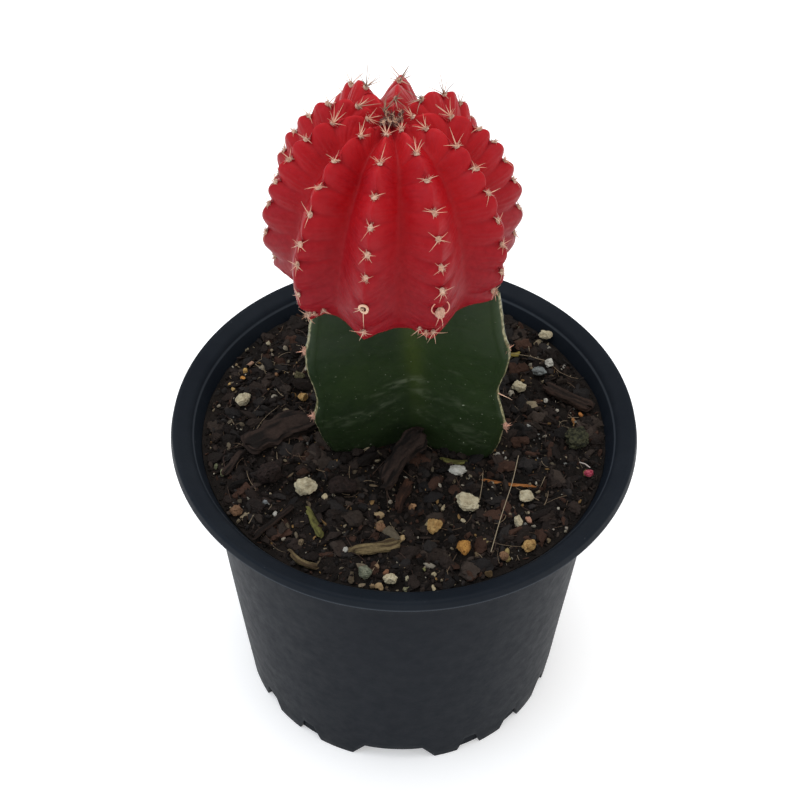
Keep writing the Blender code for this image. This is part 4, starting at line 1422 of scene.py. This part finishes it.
# larger lumps seen in the mix: x, y, half length, half width, turn
LUMPS = (
    (-25.5, 33.5, 3.4, 2.6, 30), (-29.5, 29.0, 1.8, 1.4, 0),
    (-13.0, -20.6, 2.0, 1.6, 10), (-10.5, -24.6, 2.7, 2.1, -20),
    (1.0, -34.6, 3.4, 2.6, 15), (8.8, -35.2, 2.7, 1.9, -30),
    (19.2, -19.4, 2.3, 1.9, 0), (31.0, -23.2, 3.3, 2.2, 35),
    (32.2, -14.0, 2.1, 2.8, 0), (26.6, 0.0, 2.9, 2.0, 10),
    (-20.5, -26.0, 2.2, 1.6, 30), (-31.0, -22.6, 2.6, 1.8, -15),
    (-36.4, -20.6, 1.9, 1.6, 0), (-9.8, -15.6, 1.8, 2.3, 0),
    (13.6, -17.0, 2.3, 1.7, 20), (10.2, -13.2, 2.4, 2.0, -10),
    (-11.0, -34.0, 2.4, 1.4, 10), (23.4, 35.2, 2.4, 1.8, 0),
    (25.6, 30.2, 2.2, 1.7, 40), (36.4, -6.4, 1.8, 1.5, 0),
    (-32.4, 1.8, 2.4, 1.5, 40), (-40.4, -2.6, 1.3, 2.4, 0),
    (-28.0, 13.2, 1.6, 2.0, 0), (-22.4, 20.4, 1.7, 1.3, 0),
    (4.6, -27.8, 1.6, 1.3, 0), (-7.6, -30.0, 1.5, 1.2, 0),
    (16.2, -24.4, 1.7, 1.3, 0), (22.0, -29.4, 1.8, 1.3, 30),
    (36.0, -20.8, 1.5, 2.2, 0), (29.4, 24.0, 1.8, 1.4, 0),
    (18.0, -36.2, 1.8, 1.2, -30), (-3.0, 30.5, 2.6, 1.9, 15),
    (10.5, 36.0, 2.8, 2.0, -20), (-12.5, 36.5, 2.2, 1.8, 0),
    (14.0, 24.5, 2.2, 1.5, 0), (-15.0, 27.0, 1.9, 1.5, 0),
    (39.2, 14.6, 1.4, 1.9, 0), (-7.0, 40.0, 2.0, 1.5, 0),
    (22.0, 15.5, 1.9, 1.4, 20), (-19.0, 11.0, 1.5, 1.9, 0),
)
# small pale crumbs seen in the mix: x, y, radius, colour
CRUMBS = (
    (-37.8, 25.2, 0.7, (150, 138, 112)), (-31.3, 25.5, 0.8, (158, 148, 124)),
    (-27.3, 23.9, 0.7, (140, 130, 112)), (-35.0, 19.0, 1.0, (150, 118, 98)),
    (-32.3, 18.0, 0.9, (138, 128, 110)), (-35.8, 16.7, 0.9, (176, 142, 84)),
    (-36.3, 14.4, 0.7, (180, 128, 66)), (-38.9, 12.5, 0.8, (170, 138, 86)),
    (-38.1, 11.0, 0.6, (186, 156, 104)), (-38.1, 19.1, 0.5, (150, 130, 100)),
    (-38.5, -13.2, 0.7, (118, 120, 92)), (-40.0, -11.6, 0.6, (96, 100, 76)),
    (-37.6, -11.8, 0.5, (128, 126, 100)), (38.8, 5.5, 0.8, (168, 110, 60)),
    (37.2, 3.6, 0.6, (140, 98, 60)), (-28.8, -21.9, 0.8, (112, 116, 118)),
    (-26.5, -24.7, 0.7, (168, 166, 158)), (-11.5, -33.8, 0.8, (160, 158, 150)),
    (-16.3, -19.9, 0.9, (176, 162, 132)), (31.3, 9.4, 0.6, (170, 166, 156)),
    (27.5, 1.3, 0.8, (164, 164, 160)), (26.3, -24.8, 0.7, (158, 118, 98)),
    (8.4, -21.9, 0.7, (168, 152, 122)), (2.1, -21.6, 0.9, (140, 108, 78)),
    (20.3, -7.2, 0.7, (160, 156, 146)), (21.4, -6.6, 0.5, (146, 142, 132)),
    (19.6, -8.3, 0.5, (170, 168, 160)), (21.8, -8.0, 0.4, (130, 126, 118)),
    (-30.2, 22.0, 0.5, (120, 112, 96)), (-28.8, 15.6, 0.6, (126, 92, 66)),
    (-41.0, 6.2, 0.5, (130, 120, 104)), (-21.4, -18.8, 0.5, (170, 164, 150)),
    (12.6, -25.4, 0.6, (172, 160, 132)), (-2.6, -20.4, 0.5, (150, 140, 124)),
    (17.0, -31.0, 0.7, (150, 132, 92)), (21.6, -33.6, 0.8, (146, 128, 84)),
    (34.6, -28.0, 0.5, (128, 120, 104)), (6.6, -39.4, 0.7, (160, 148, 120)),
    (1.4, -40.8, 0.8, (152, 146, 122)), (-5.0, -38.2, 0.6, (140, 116, 88)),
    (5.4, -26.4, 0.8, (158, 140, 104)), (-4.9, -24.2, 1.0, (150, 130, 98)),
    (30.2, -30.0, 0.5, (120, 104, 80)), (33.0, 26.4, 0.6, (140, 136, 126)),
    (28.4, 20.6, 0.5, (132, 126, 112)), (36.0, 21.0, 0.5, (150, 146, 138)),
    (-0.2, -30.8, 0.91, (156, 134, 98)),
    (1.3, -32.9, 0.52, (160, 142, 114)),
    (0.6, -28.9, 0.70, (108, 100, 78)),
    (8.4, -22.0, 0.61, (128, 122, 104)),
    (2.0, -21.9, 0.91, (118, 88, 62)),
    (-3.1, -39.4, 0.78, (120, 84, 62)),
    (-4.4, -43.0, 0.96, (156, 132, 98)),
    (-5.8, -42.8, 0.65, (136, 114, 86)),
    (1.2, -43.8, 0.87, (130, 128, 100)),
    (6.8, -44.0, 0.83, (172, 158, 126)),
    (21.4, -35.2, 0.91, (122, 106, 66)),
    (23.5, -28.1, 0.48, (186, 166, 136)),
    (24.1, -29.1, 0.37, (176, 156, 128)),
    (17.7, -39.2, 0.91, (80, 64, 42)),
    (4.6, -38.2, 0.43, (108, 108, 70)),
    (27.1, -21.3, 0.39, (150, 146, 136)),
    (29.7, -22.8, 0.35, (146, 138, 128)),
    (31.4, -26.8, 0.35, (150, 140, 128)),
    (34.1, -26.5, 0.43, (150, 140, 128)),
    (-4.8, -26.9, 1.00, (112, 92, 68)),
    (9.5, -26.0, 0.43, (96, 86, 76)),
    (15.3, -34.6, 0.57, (92, 78, 58)),
    (-7.8, -43.1, 0.43, (120, 104, 88)),
    (-0.9, -36.8, 0.30, (150, 140, 124)),
)


FLAT = [box_mm(n) for n in ("leaf_bit_green", "leaf_bit_olive",
                            "leaf_bit_yellow", "petal_bit", "pine_needle",
                            "shell_curl", "bark_strip_tan", "bark_chip_edge")]


def build_grains():
    rng = np.random.default_rng(101)
    tiers = (("soil_grains_fine", 9200, 0.16, 0.42, 0, 2, 0.11, 0.10),
             ("soil_grains_mid", 2450, 0.38, 0.95, 1, 4, 0.09, 0.22),
             ("soil_grains_coarse", 520, 0.8, 1.9, 2, 8, 0.03, 0.26))
    for name, count, small, large, level, cuts, pale, rough in tiers:
        pool = Pool()
        sf = ICO[level][1]
        shapes = [crumb(level, rng, cuts, rough) for _ in range(50)]
        done = 0
        while done < count:
            r = 43.3 * math.sqrt(rng.random())
            a = rng.uniform(0, math.tau)
            x, y = r * math.sin(a), -r * math.cos(a)
            s = small + (large - small) * rng.random() ** 2.0
            if r + s * 0.8 > 43.9:
                continue
            if in_stem(np.array(x), np.array(y), 0.1):
                continue
            if s > 0.7 and any((x - lx) ** 2 + (y - ly) ** 2 < (lr + s * 0.6)
                               ** 2 for lx, ly, lr in LOOSE):
                continue
            sh = shapes[rng.integers(len(shapes))]
            dims = s * np.array([rng.uniform(0.8, 2.0), rng.uniform(0.5, 1.0),
                                 rng.uniform(0.35, 0.8)])
            v = (sh * dims) @ (rand_rot(rng) if level < 2 else
                               rot_z(rng.uniform(0, math.tau)) @ rand_tilt(
                                   rng, 28)).T
            h = float(soil_height(x, y))
            v = v + np.array([x, y, h + s * rng.uniform(0.05, 0.5)])
            col = PALE[rng.integers(len(PALE))] * rng.uniform(0.6, 1.0) \
                if rng.random() < pale else \
                PALETTE[rng.integers(len(PALETTE))] * rng.uniform(0.6, 1.35)
            pool.add(v, None, sf, col=col)
            done += 1
        finish_piece(pool.build(name, SOIL_MAT, sharp=24))
    pool = Pool()
    shapes = [crumb(2, rng, 4, 0.55) for _ in range(40)]
    done = 0
    while done < 230:
        r = 42.0 * math.sqrt(rng.random())
        a = rng.uniform(0, math.tau)
        x, y = r * math.sin(a), -r * math.cos(a)
        s = 1.25 + 0.95 * rng.random()
        if in_stem(np.array(x), np.array(y), 0.6) or any(
                (x - lx) ** 2 + (y - ly) ** 2 < (lr + s * 0.75) ** 2
                for lx, ly, lr in LOOSE) or any(
                box[0][0] - s < x < box[1][0] + s
                and box[0][1] - s < y < box[1][1] + s for box in FLAT):
            continue
        v = shapes[rng.integers(40)] * s * np.array(
            [rng.uniform(0.9, 1.4), rng.uniform(0.7, 1.0), rng.uniform(0.45, 0.7)])
        v = v @ (rot_z(rng.uniform(0, math.tau)) @ rand_tilt(rng, 22)).T
        v = v + np.array([x, y, float(soil_height(x, y)) + 0.10 * s])
        pool.add(v, None, ICO[2][1], col=PALETTE[rng.integers(2, 10)]
                 * rng.uniform(0.75, 1.3))
        done += 1
    finish_piece(pool.build("soil_clods", SOIL_MAT, sharp=55))
    pool = Pool()
    for x, y, a, b, turn in LUMPS:
        sh = crumb(3, rng, 12, 0.34)
        k = 0.10 * fbm(sh * 5.0 + rng.uniform(0, 90, 3), 1.0, 3, 3)
        v = sh + ICO[3][0] * k[:, None]
        v = (v * np.array([a, b, min(a, b) * 0.62])) @ (
            rot_z(math.radians(turn)) @ rand_tilt(rng, 14)).T
        v = v + np.array([x, y, float(soil_height(x, y)) + 0.25])
        pool.add(v, None, ICO[3][1],
                 col=PALETTE[rng.integers(1, 8)] * rng.uniform(0.8, 1.1))
    finish_piece(pool.build("soil_lumps", SOIL_MAT, sharp=30))
    pool = Pool()
    items = list(CRUMBS)
    for _ in range(190):
        r = 42.8 * math.sqrt(rng.random())
        a = rng.uniform(0, math.tau)
        c = np.array(((150, 138, 116), (170, 164, 150), (124, 112, 92),
                      (150, 118, 74), (112, 112, 108))[rng.integers(5)])
        items.append((r * math.sin(a), -r * math.cos(a),
                      0.16 + 0.34 * rng.random() ** 2, tuple(c)))
    for x, y, s, c in items:
        if in_stem(np.array(x), np.array(y), 0.0):
            continue
        fit = min(1.0, (43.9 - 0.8 * s) / math.hypot(x, y))
        x, y = x * fit, y * fit
        sh = crumb(2, rng, 7, 0.3)
        v = (sh * s * np.array([rng.uniform(0.9, 1.3), rng.uniform(0.7, 1.0),
                                rng.uniform(0.6, 0.9)])) @ rand_rot(rng).T
        v = v + np.array([x, y, float(soil_height(x, y)) + 0.45 * s + 0.3])
        pool.add(v, None, ICO[2][1], col=np.array(srgb(*c)))
    finish_piece(pool.build("soil_pale_crumbs", CRUMB_MAT, sharp=30))


def rand_tilt(rng, deg):
    a = math.radians(rng.uniform(-deg, deg))
    b = math.radians(rng.uniform(-deg, deg))
    ca, sa, cb, sb = math.cos(a), math.sin(a), math.cos(b), math.sin(b)
    return np.array([[cb, 0, sb], [sa * sb, ca, -sa * cb],
                     [-ca * sb, sa, ca * cb]])


# --------------------------------------------------------- loose pieces
def stone_material(name, light, dark, rough=0.8, pores=0.5, sss=0.0,
                   spec=0.15, cell=0.42):
    m = Mat(name, roughness=rough, specular=spec, subsurface=sss,
            radius=(1, 0.8, 0.5), scale=0.0008)
    c = m.mix(m.range(m.noise(1.1, 4.0, 0.65), 0.35, 0.68), dark, light)
    pit = m.voronoi(cell)
    c = m.mix(m.range(pit, 0.02, 0.30, pores, 0.0), c,
              tuple(0.32 * k for k in dark))
    c = m.mix(m.range(m.noise(0.35, 3.0), 0.60, 0.75, 0.0, 0.4), c,
              tuple(0.55 * k for k in dark))
    m.colour(c)
    n = m.bump(pit, 0.7, 0.18)
    m.bump(m.noise(0.22, 4.0, 0.7), 0.7, 0.10, n)
    return m.mat


MATS = {
    "pumice_cream": stone_material("pumice_cream_stone", srgb(186, 178, 152),
                                   srgb(150, 138, 112)),
    "pumice_white": stone_material("pumice_white_stone", srgb(186, 184, 176),
                                   srgb(148, 146, 136)),
    "pumice_gold": stone_material("pumice_gold_stone", srgb(172, 142, 92),
                                  srgb(132, 100, 58), pores=0.4),
    "pumice_amber": stone_material("pumice_amber_stone", srgb(172, 128, 66),
                                   srgb(122, 82, 38), pores=0.3),
    "pumice_grey": stone_material("pumice_grey_stone", srgb(122, 126, 124),
                                  srgb(84, 88, 88), pores=0.3),
    "green_grey": stone_material("green_grey_stone", srgb(122, 124, 106),
                                 srgb(70, 74, 60), pores=0.5),
    "olive": stone_material("olive_stone", srgb(100, 94, 68),
                            srgb(66, 62, 44), pores=0.35),
    "pebble_brown": stone_material("tan_pebble", srgb(126, 96, 72),
                                   srgb(82, 60, 44), pores=0.25),
    "bark_lump": stone_material("bark_lump_brown", srgb(44, 34, 31),
                                srgb(25, 20, 18), rough=0.92, pores=0.35,
                                spec=0.12),
}


def place_stone(node, x, y, half, turn, mat, seed, cuts=9, rough=0.24,
                keep=(0.58, 0.92), sink=0.25):
    low, high = box_mm(node)
    rng = np.random.default_rng(seed)
    v, f = ICO[4]
    s = cut_stone(v, rng, cuts, keep)
    s = s + v * (rough * fbm(v * 3.0 + seed, 1.8, seed, 4))[:, None]
    pits = np.clip(fbm(v * 7.0 + seed * 3, 1.6, seed + 3, 2) - 0.25, 0, 1)
    s = s - v * (0.42 * pits)[:, None]
    s = s + v * (0.05 * fbm(v * 9.0 + seed, 1.3, seed + 8, 3))[:, None]
    s = s * np.array(half)
    s = s @ (rot_z(math.radians(turn)) @ rand_tilt(rng, 8)).T
    lo = s[:, 2].min()
    s = s + np.array([(low[0] + high[0]) / 2, (low[1] + high[1]) / 2,
                      low[2] - lo - sink])
    obj = mesh_object(node + "_body", s, None, f, mat, {}, sharp=40)
    finish_piece(obj, [node])
    LOOSE.append((float((low[0] + high[0]) / 2), float((low[1] + high[1]) / 2),
                  max(half[0], half[1]) * 0.9))
    return obj


STONES = (
    ("pumice_front_left", (2.5, 2.0, 2.0), 15, "pumice_cream", "pumice_cream"),
    ("pumice_left", (1.5, 2.0, 1.4), -40, "pumice_cream", "pumice_cream"),
    ("pumice_front_right", (2.8, 2.1, 1.9), -15, "pumice_cream",
     "pumice_cream"),
    ("pumice_gold_front", (1.6, 2.1, 1.4), 0, "pumice_gold", "pumice_gold"),
    ("pumice_amber_front", (1.5, 1.9, 1.4), 0, "pumice_gold", "pumice_amber"),
    ("pumice_right", (1.8, 1.4, 1.2), 0, "pumice_cream", "pumice_cream"),
    ("pumice_back_right", (1.7, 1.5, 1.3), 0, "pumice_cream", "pumice_cream"),
    ("pumice_back", (1.7, 1.2, 1.2), 0, "pumice_cream", "pumice_cream"),
    ("stone_grey_right", (1.9, 1.2, 1.1), 0, "pumice_grey", "pumice_grey"),
    ("stone_white_right", (1.1, 1.1, 1.0), 0, "pumice_grey", "pumice_white"),
    ("pumice_edge_right", (1.9, 1.2, 1.1), 50, "pumice_gold", "pumice_gold"),
    ("pumice_small_right", (1.0, 1.7, 1.1), 0, "pumice_cream", "pumice_cream"),
    ("stone_green_grey", (1.6, 1.5, 1.3), 0, "pumice_grey", "green_grey"),
    ("pumice_edge_front", (1.5, 1.1, 1.2), 0, "pumice_cream", "pumice_cream"),
    ("pebble_tan", (1.0, 1.0, 0.9), 0, "pebble_brown", "pebble_brown"),
    ("pebble_edge_right", (1.0, 1.0, 0.9), 0, "pebble_brown", "pebble_brown"),
    ("stone_olive_left", (1.3, 1.1, 1.0), 0, "pebble_brown", "olive"),
    ("stone_amber_left", (1.2, 1.0, 1.0), 0, "pumice_gold", "pumice_gold"),
    ("bark_lump_left", (3.2, 2.8, 2.2), 20, "bark_dark", "bark_lump"),
    ("bark_lump_front", (3.2, 2.6, 2.0), -10, "bark_dark", "bark_lump"),
    ("wood_knot_left", (1.4, 1.3, 1.1), 0, "wood_tan", "pebble_brown"),
)
for i, (node, half, turn, slot, mat) in enumerate(STONES):
    low, high = box_mm(node)
    size = (high - low) / 2
    place_stone(node, 0, 0, half, turn, MATS[mat], 300 + i * 7,
                cuts=11 if mat != "bark_lump" else 14)


def bark_material(name, light, dark, ridge=0.45):
    m = Mat(name, roughness=0.88, specular=0.12)
    along = m.attr("grain")
    c = m.mix(m.range(along, 0.25, 0.75), dark, light)
    c = m.mix(m.range(m.noise(0.7, 4.0, 0.7), 0.35, 0.7, 0.0, 0.5), c,
              tuple(0.4 * k for k in dark))
    c = m.mix(m.range(m.noise(0.3, 3.0), 0.6, 0.8, 0.0, 0.3), c,
              tuple(min(1.0, 1.9 * k) for k in light))
    m.colour(c)
    n = m.bump(along, 0.8, 0.20)
    m.bump(m.noise(0.3, 4.0, 0.7), 0.8, 0.12, n)
    return m.mat


BARK = {
    "bark_dark": bark_material("bark_dark_wood", srgb(50, 39, 34),
                               srgb(22, 18, 16)),
    "bark_red": bark_material("bark_red_wood", srgb(72, 48, 36),
                              srgb(38, 26, 21)),
    "bark_back": bark_material("bark_back_wood", srgb(54, 41, 35),
                               srgb(28, 22, 19)),
    "wood_tan": bark_material("wood_tan_fibre", srgb(112, 98, 70),
                              srgb(62, 50, 36)),
    "leaf_green": bark_material("leaf_green_blade", srgb(104, 102, 56),
                                srgb(58, 56, 32)),
    "leaf_yellow": bark_material("leaf_yellow_blade", srgb(148, 134, 66),
                                 srgb(98, 86, 42)),
    "needle_orange": bark_material("needle_orange_wood", srgb(170, 112, 62),
                                   srgb(110, 66, 36)),
    "moss": bark_material("moss_dry", srgb(66, 66, 48), srgb(30, 31, 24)),
    "petal_pink": bark_material("petal_pink_bit", srgb(176, 84, 98),
                                srgb(130, 40, 58)),
}


def place_chip(node, a, b, width, thick, mat, seed, lift=(0, 0),
               flat=2.6, curve=0.0, ends=0.75, twist=0.0, cup=0.0):
    """A ridged splinter lying from a to b on the potting mix."""
    low, high = box_mm(node)
    rng = np.random.default_rng(seed)
    a, b = np.array(a, float), np.array(b, float)
    rest = low[2]
    n, sides = 84, 52
    t = np.linspace(0, 1, n)
    start = np.array([a[0], a[1], rest + thick / 2 + lift[0]])
    stop = np.array([b[0], b[1], rest + thick / 2 + lift[1]])
    axis = stop - start
    length = np.linalg.norm(axis)
    axis = axis / length
    up = np.array([0, 0, 1.0])
    side = np.cross(axis, up)
    side /= np.linalg.norm(side)
    up = np.cross(side, axis)
    ang = np.arange(sides) / sides * math.tau
    c, s = np.cos(ang), np.sin(ang)
    k = 2.0 / flat
    ex = np.sign(c) * np.abs(c) ** k
    ey = np.sign(s) * np.abs(s) ** k
    taper = np.clip(np.minimum(t, 1 - t) / 0.10, 0, 1) ** 0.5
    # ends broken at a slant, with splinters
    jag = fbm(np.stack([np.zeros(sides), ex * 9, ey * 9 + seed], -1),
              3.0, seed, 3)
    slant = rng.uniform(-0.10, 0.10, 2)
    ends_a = (0.09 * jag + slant[0] * ex) * min(1.0, 3.0 * width / length + 0.4)
    ends_b = (-0.09 * jag + slant[1] * ex) * min(1.0, 3.0 * width / length + 0.4)
    pts = np.zeros((n, sides, 3))
    sub = np.stack(np.broadcast_arrays(
        t[:, None] * length / 5.0, (ex * width / 2)[None] * 1.5,
        (ey * thick / 2)[None] * 1.5), -1).reshape(-1, 3)
    ridge = fbm(sub + seed, 0.8, seed, 3).reshape(n, sides)
    lump = fbm(sub * np.array([2.5, 0.6, 0.6]) + seed, 1.5, seed + 9,
               3).reshape(n, sides)
    fine = fbm(sub * np.array([6.0, 3.0, 3.0]) + seed, 1.1, seed + 5,
               2).reshape(n, sides)
    belly = fbm(np.stack([t * length / 3.0 + seed, 0 * t, 0 * t], -1), 1.0,
                seed + 31, 2)
    split = np.exp(-((ex - 0.25 * np.sin(seed)) / 0.10) ** 2) * (ey > 0)
    wobble = 0.07 * width * np.sin(t * 5.1 + seed) + curve * length \
        * (4 * t * (1 - t))
    for i in range(n):
        w = width / 2 * (ends + (1 - ends) * taper[i]) * min(1, taper[i] * 1.8) \
            * (1 + 0.22 * belly[i])
        h = thick / 2 * (0.75 + 0.25 * taper[i]) * min(1, taper[i] * 1.8)
        ca, sa = math.cos(twist * t[i]), math.sin(twist * t[i])
        gain = 1 + 0.20 * ridge[i] + 0.18 * lump[i] + 0.07 * fine[i]
        px = ex * w * gain
        py = ey * h * (gain - 0.30 * split * (0.5 + belly[i])) \
            - cup * (ex ** 2) * thick
        qx, qy = px * ca - py * sa, px * sa + py * ca
        s0 = t[i] + ends_a * (1 - t[i]) ** 3 + ends_b * t[i] ** 3
        pts[i] = start + axis * (length * s0)[:, None] \
            + side * (qx + wobble[i])[:, None] + up * qy[:, None]
    verts = np.concatenate([pts.reshape(-1, 3), [pts[0].mean(0)],
                            [pts[-1].mean(0)]])
    zmin = verts[:, 2].min()
    if lift == (0, 0):
        verts[:, 2] += rest - 0.12 - zmin
    quads = grid_faces(n, sides, flip=True)
    m = len(verts)
    tris = [(m - 2, (q + 1) % sides, q) for q in range(sides)]
    e = (n - 1) * sides
    tris += [(m - 1, e + q, e + (q + 1) % sides) for q in range(sides)]
    grain = np.concatenate([(0.5 + 0.9 * ridge).ravel(), [0.5, 0.5]])
    obj = mesh_object(node + "_body", verts, quads, np.array(tris), mat,
                      {"grain": np.clip(grain, 0, 1)}, sharp=34)
    finish_piece(obj, [node])
    steps = max(2, int(length / 2.0))
    for q in np.linspace(0, 1, steps):
        if lift[0] + (lift[1] - lift[0]) * q < 1.5:
            p = a + (b - a) * q
            LOOSE.append((float(p[0]), float(p[1]), width * 0.5))
    return obj


place_chip("bark_slab_left", (-34, -5.6), (-20.4, 1.8), 6.4, 1.9,
           BARK["bark_dark"], 1, flat=4.6, ends=0.9)
place_chip("bark_log_front", (-4.4, -16.6), (3.6, -6.0), 4.6, 3.0,
           BARK["bark_dark"], 2, lift=(0.0, 4.6), flat=3.4, ends=0.85)
place_chip("bark_strip_front", (-1, -23.2), (1.0, -15.4), 2.2, 1.4,
           BARK["bark_red"], 3, ends=0.85)
place_chip("bark_strip_tan", (-10, -34.6), (-0.8, -31.9), 2.6, 1.2,
           BARK["wood_tan"], 4, ends=0.8)
place_chip("bark_chip_edge", (-22.8, -34.8), (-17.2, -38.4), 1.5, 0.9,
           BARK["wood_tan"], 5, curve=0.10)
place_chip("bark_back_right", (31.4, 13.4), (41.0, 6.8), 3.2, 1.6,
           BARK["bark_back"], 6, ends=0.8)
place_chip("bark_sliver_left", (-38.2, -14.2), (-34.6, -7.6), 1.7, 1.0,
           BARK["bark_dark"], 7)
place_chip("leaf_bit_green", (-17, -30.4), (-20, -23.2), 1.7, 0.55,
           BARK["leaf_green"], 8, curve=0.06, cup=0.5, ends=0.6)
place_chip("leaf_bit_olive", (8.2, -8.4), (13.4, -9.0), 1.2, 0.55,
           BARK["leaf_green"], 9, curve=0.12, ends=0.5)
place_chip("leaf_bit_yellow", (23, 23.6), (26, 24.2), 1.3, 0.6,
           BARK["leaf_yellow"], 10, curve=0.1, ends=0.5)
place_chip("twig_front_left", (-30.4, -31.4), (-23.0, -22.6), 1.3, 1.3,
           BARK["bark_dark"], 11, flat=2.0)
place_chip("pine_needle", (16.8, -14.2), (27.8, -15.8), 0.66, 0.62,
           BARK["needle_orange"], 12, flat=2.0, curve=0.03)


def place_blob(node, mat, seed, half=None, rough=0.3):
    low, high = box_mm(node)
    size = (high - low) / 2 if half is None else np.array(half)
    v, f = ICO[4]
    s = v * (1 + rough * fbm(v * 3 + seed, 1.2, seed, 4))[:, None]
    s = s * size
    mid = (low + high) / 2
    s[:, 2] -= s[:, 2].min()
    s = s + np.array([mid[0], mid[1], low[2] - 0.1])
    grain = np.clip(0.5 + fbm(s, 0.5, seed, 3), 0, 1)
    obj = mesh_object(node + "_body", s, None, f, mat, {"grain": grain},
                      sharp=60)
    finish_piece(obj, [node])
    LOOSE.append((float(mid[0]), float(mid[1]), float(size[:2].mean())))


place_blob("shell_curl", MATS["pumice_white"], 21)
place_blob("moss_clump", BARK["moss"], 22, rough=0.5)
place_blob("petal_bit", BARK["petal_pink"], 23)

build_grains()


def fibre_material():
    m = Mat("soil_fibre", roughness=0.7, specular=0.3)
    m.colour(m.attr("col", "Color"))
    m.bump(m.noise(0.2, 2.0), 0.3, 0.03)
    return m.mat


def build_fibres():
    rng = np.random.default_rng(211)
    pool = Pool()
    tones = [srgb(*c) for c in ((62, 46, 36), (88, 70, 54), (40, 30, 26),
                                (112, 96, 76), (134, 118, 96), (56, 38, 30))]
    done = 0
    while done < 300:
        r = 42.5 * math.sqrt(rng.random())
        a = rng.uniform(0, math.tau)
        x, y = r * math.sin(a), -r * math.cos(a)
        ln = rng.uniform(1.6, 8.0) * (0.5 + rng.random())
        d = rng.uniform(0, math.tau)
        t = np.linspace(0, 1, 12)
        bendy = rng.normal() * 0.45
        ang = d + bendy * (t - 0.5) * 2
        px = x + np.cumsum(np.cos(ang)) * ln / 12
        py = y + np.cumsum(np.sin(ang)) * ln / 12
        if (np.hypot(px, py) > 43.3).any() or in_stem(px, py, -0.3).any():
            continue
        h = soil_height(px, py) + 0.55 + 0.25 * np.sin(t * 3 + rng.random() * 6) \
            + np.linspace(0, rng.uniform(-0.3, 0.9), 12)
        v, q, tr = tube(np.stack([px, py, h], -1),
                        rng.uniform(0.04, 0.11) * (1 - 0.5 * t), 5)
        pool.add(v, q, tr, col=tones[rng.integers(len(tones))])
        done += 1
    # the few long ones
    for pts, rad, col in (
            (((24.6, -8.4, 75.6), (23.0, -17.0, 76.8), (20.4, -26.0, 76.4),
              (18.2, -34.2, 74.9)), 0.08, (150, 136, 112)),
            (((16.9, -13.4, 75.4), (16.7, -16.8, 76.0), (16.1, -20.4, 74.9)),
             0.07, (140, 124, 100)),
            (((37.7, -9.3, 74.8), (38.8, -10.2, 75.3), (39.8, -10.9, 75.0)),
             0.13, (170, 160, 152))):
        pts = np.array(pts)
        t = np.linspace(0, len(pts) - 1, 26)
        path = np.stack([np.interp(t, np.arange(len(pts)), pts[:, k])
                         for k in range(3)], -1)
        for _ in range(4):
            path[1:-1] = (path[:-2] + path[1:-1] * 2 + path[2:]) / 4
        v, q, tr = tube(path, rad, 6)
        pool.add(v, q, tr, col=srgb(*col))
    finish_piece(pool.build("soil_fibres", fibre_material()))


build_fibres()


# ------------------------------------------------------------- floor and light
def floor_material():
    m = Mat("floor_white", roughness=0.9, specular=0.1)
    c = m.mix(m.range(m.noise(60.0, 3.0), 0.3, 0.7), (0.92, 0.92, 0.925),
              (0.935, 0.935, 0.935))
    m.colour(c)
    m.bump(m.noise(1.5, 3.0), 0.05, 0.05)
    m.set("Emission Color", (1.0, 1.0, 1.0, 1.0))
    m.set("Emission Strength", 0.30)
    return m.mat


def build_floor():
    n = 25
    x = np.linspace(-6000, 6000, n)
    gx, gy = np.meshgrid(x, x)
    verts = np.stack([gx.ravel(), gy.ravel(), np.full(n * n, 0.0)], -1)
    i = np.arange(n - 1)[:, None] * n + np.arange(n - 1)[None]
    i = i.ravel()
    quads = np.stack([i, i + 1, i + n + 1, i + n], -1)
    obj = mesh_object("floor", verts, quads, None, floor_material())


build_floor()


def area_light(name, where, target, size, power, colour=(1, 1, 1)):
    light = bpy.data.lights.new(name, 'AREA')
    light.shape = 'DISK'
    light.size = size
    light.energy = power
    light.color = colour
    obj = bpy.data.objects.new(name, light)
    obj.location = where
    d = Vector(target) - Vector(where)
    obj.rotation_euler = d.to_track_quat('-Z', 'Y').to_euler()
    bpy.context.scene.collection.objects.link(obj)
    return obj


area_light("key_top", (-0.10, 0.10, 1.2), (0, 0, 0.08), 1.3, 7.0)
area_light("side_left", (-0.9, -0.35, 0.55), (0, 0, 0.07), 0.8, 1.9,
           (0.52, 0.74, 1.0))
area_light("side_right", (0.9, -0.4, 0.5), (0, 0, 0.07), 0.8, 1.0)

world = bpy.data.worlds.new("studio")
bpy.context.scene.world = world
world.use_nodes = True
bg = world.node_tree.nodes["Background"]
bg.inputs["Color"].default_value = (1.0, 1.0, 1.0, 1.0)
bg.inputs["Strength"].default_value = 0.85

scene = bpy.context.scene
scene.view_settings.view_transform = 'Standard'
scene.view_settings.look = 'None'
scene.view_settings.exposure = 0.0
scene.view_settings.gamma = 1.0
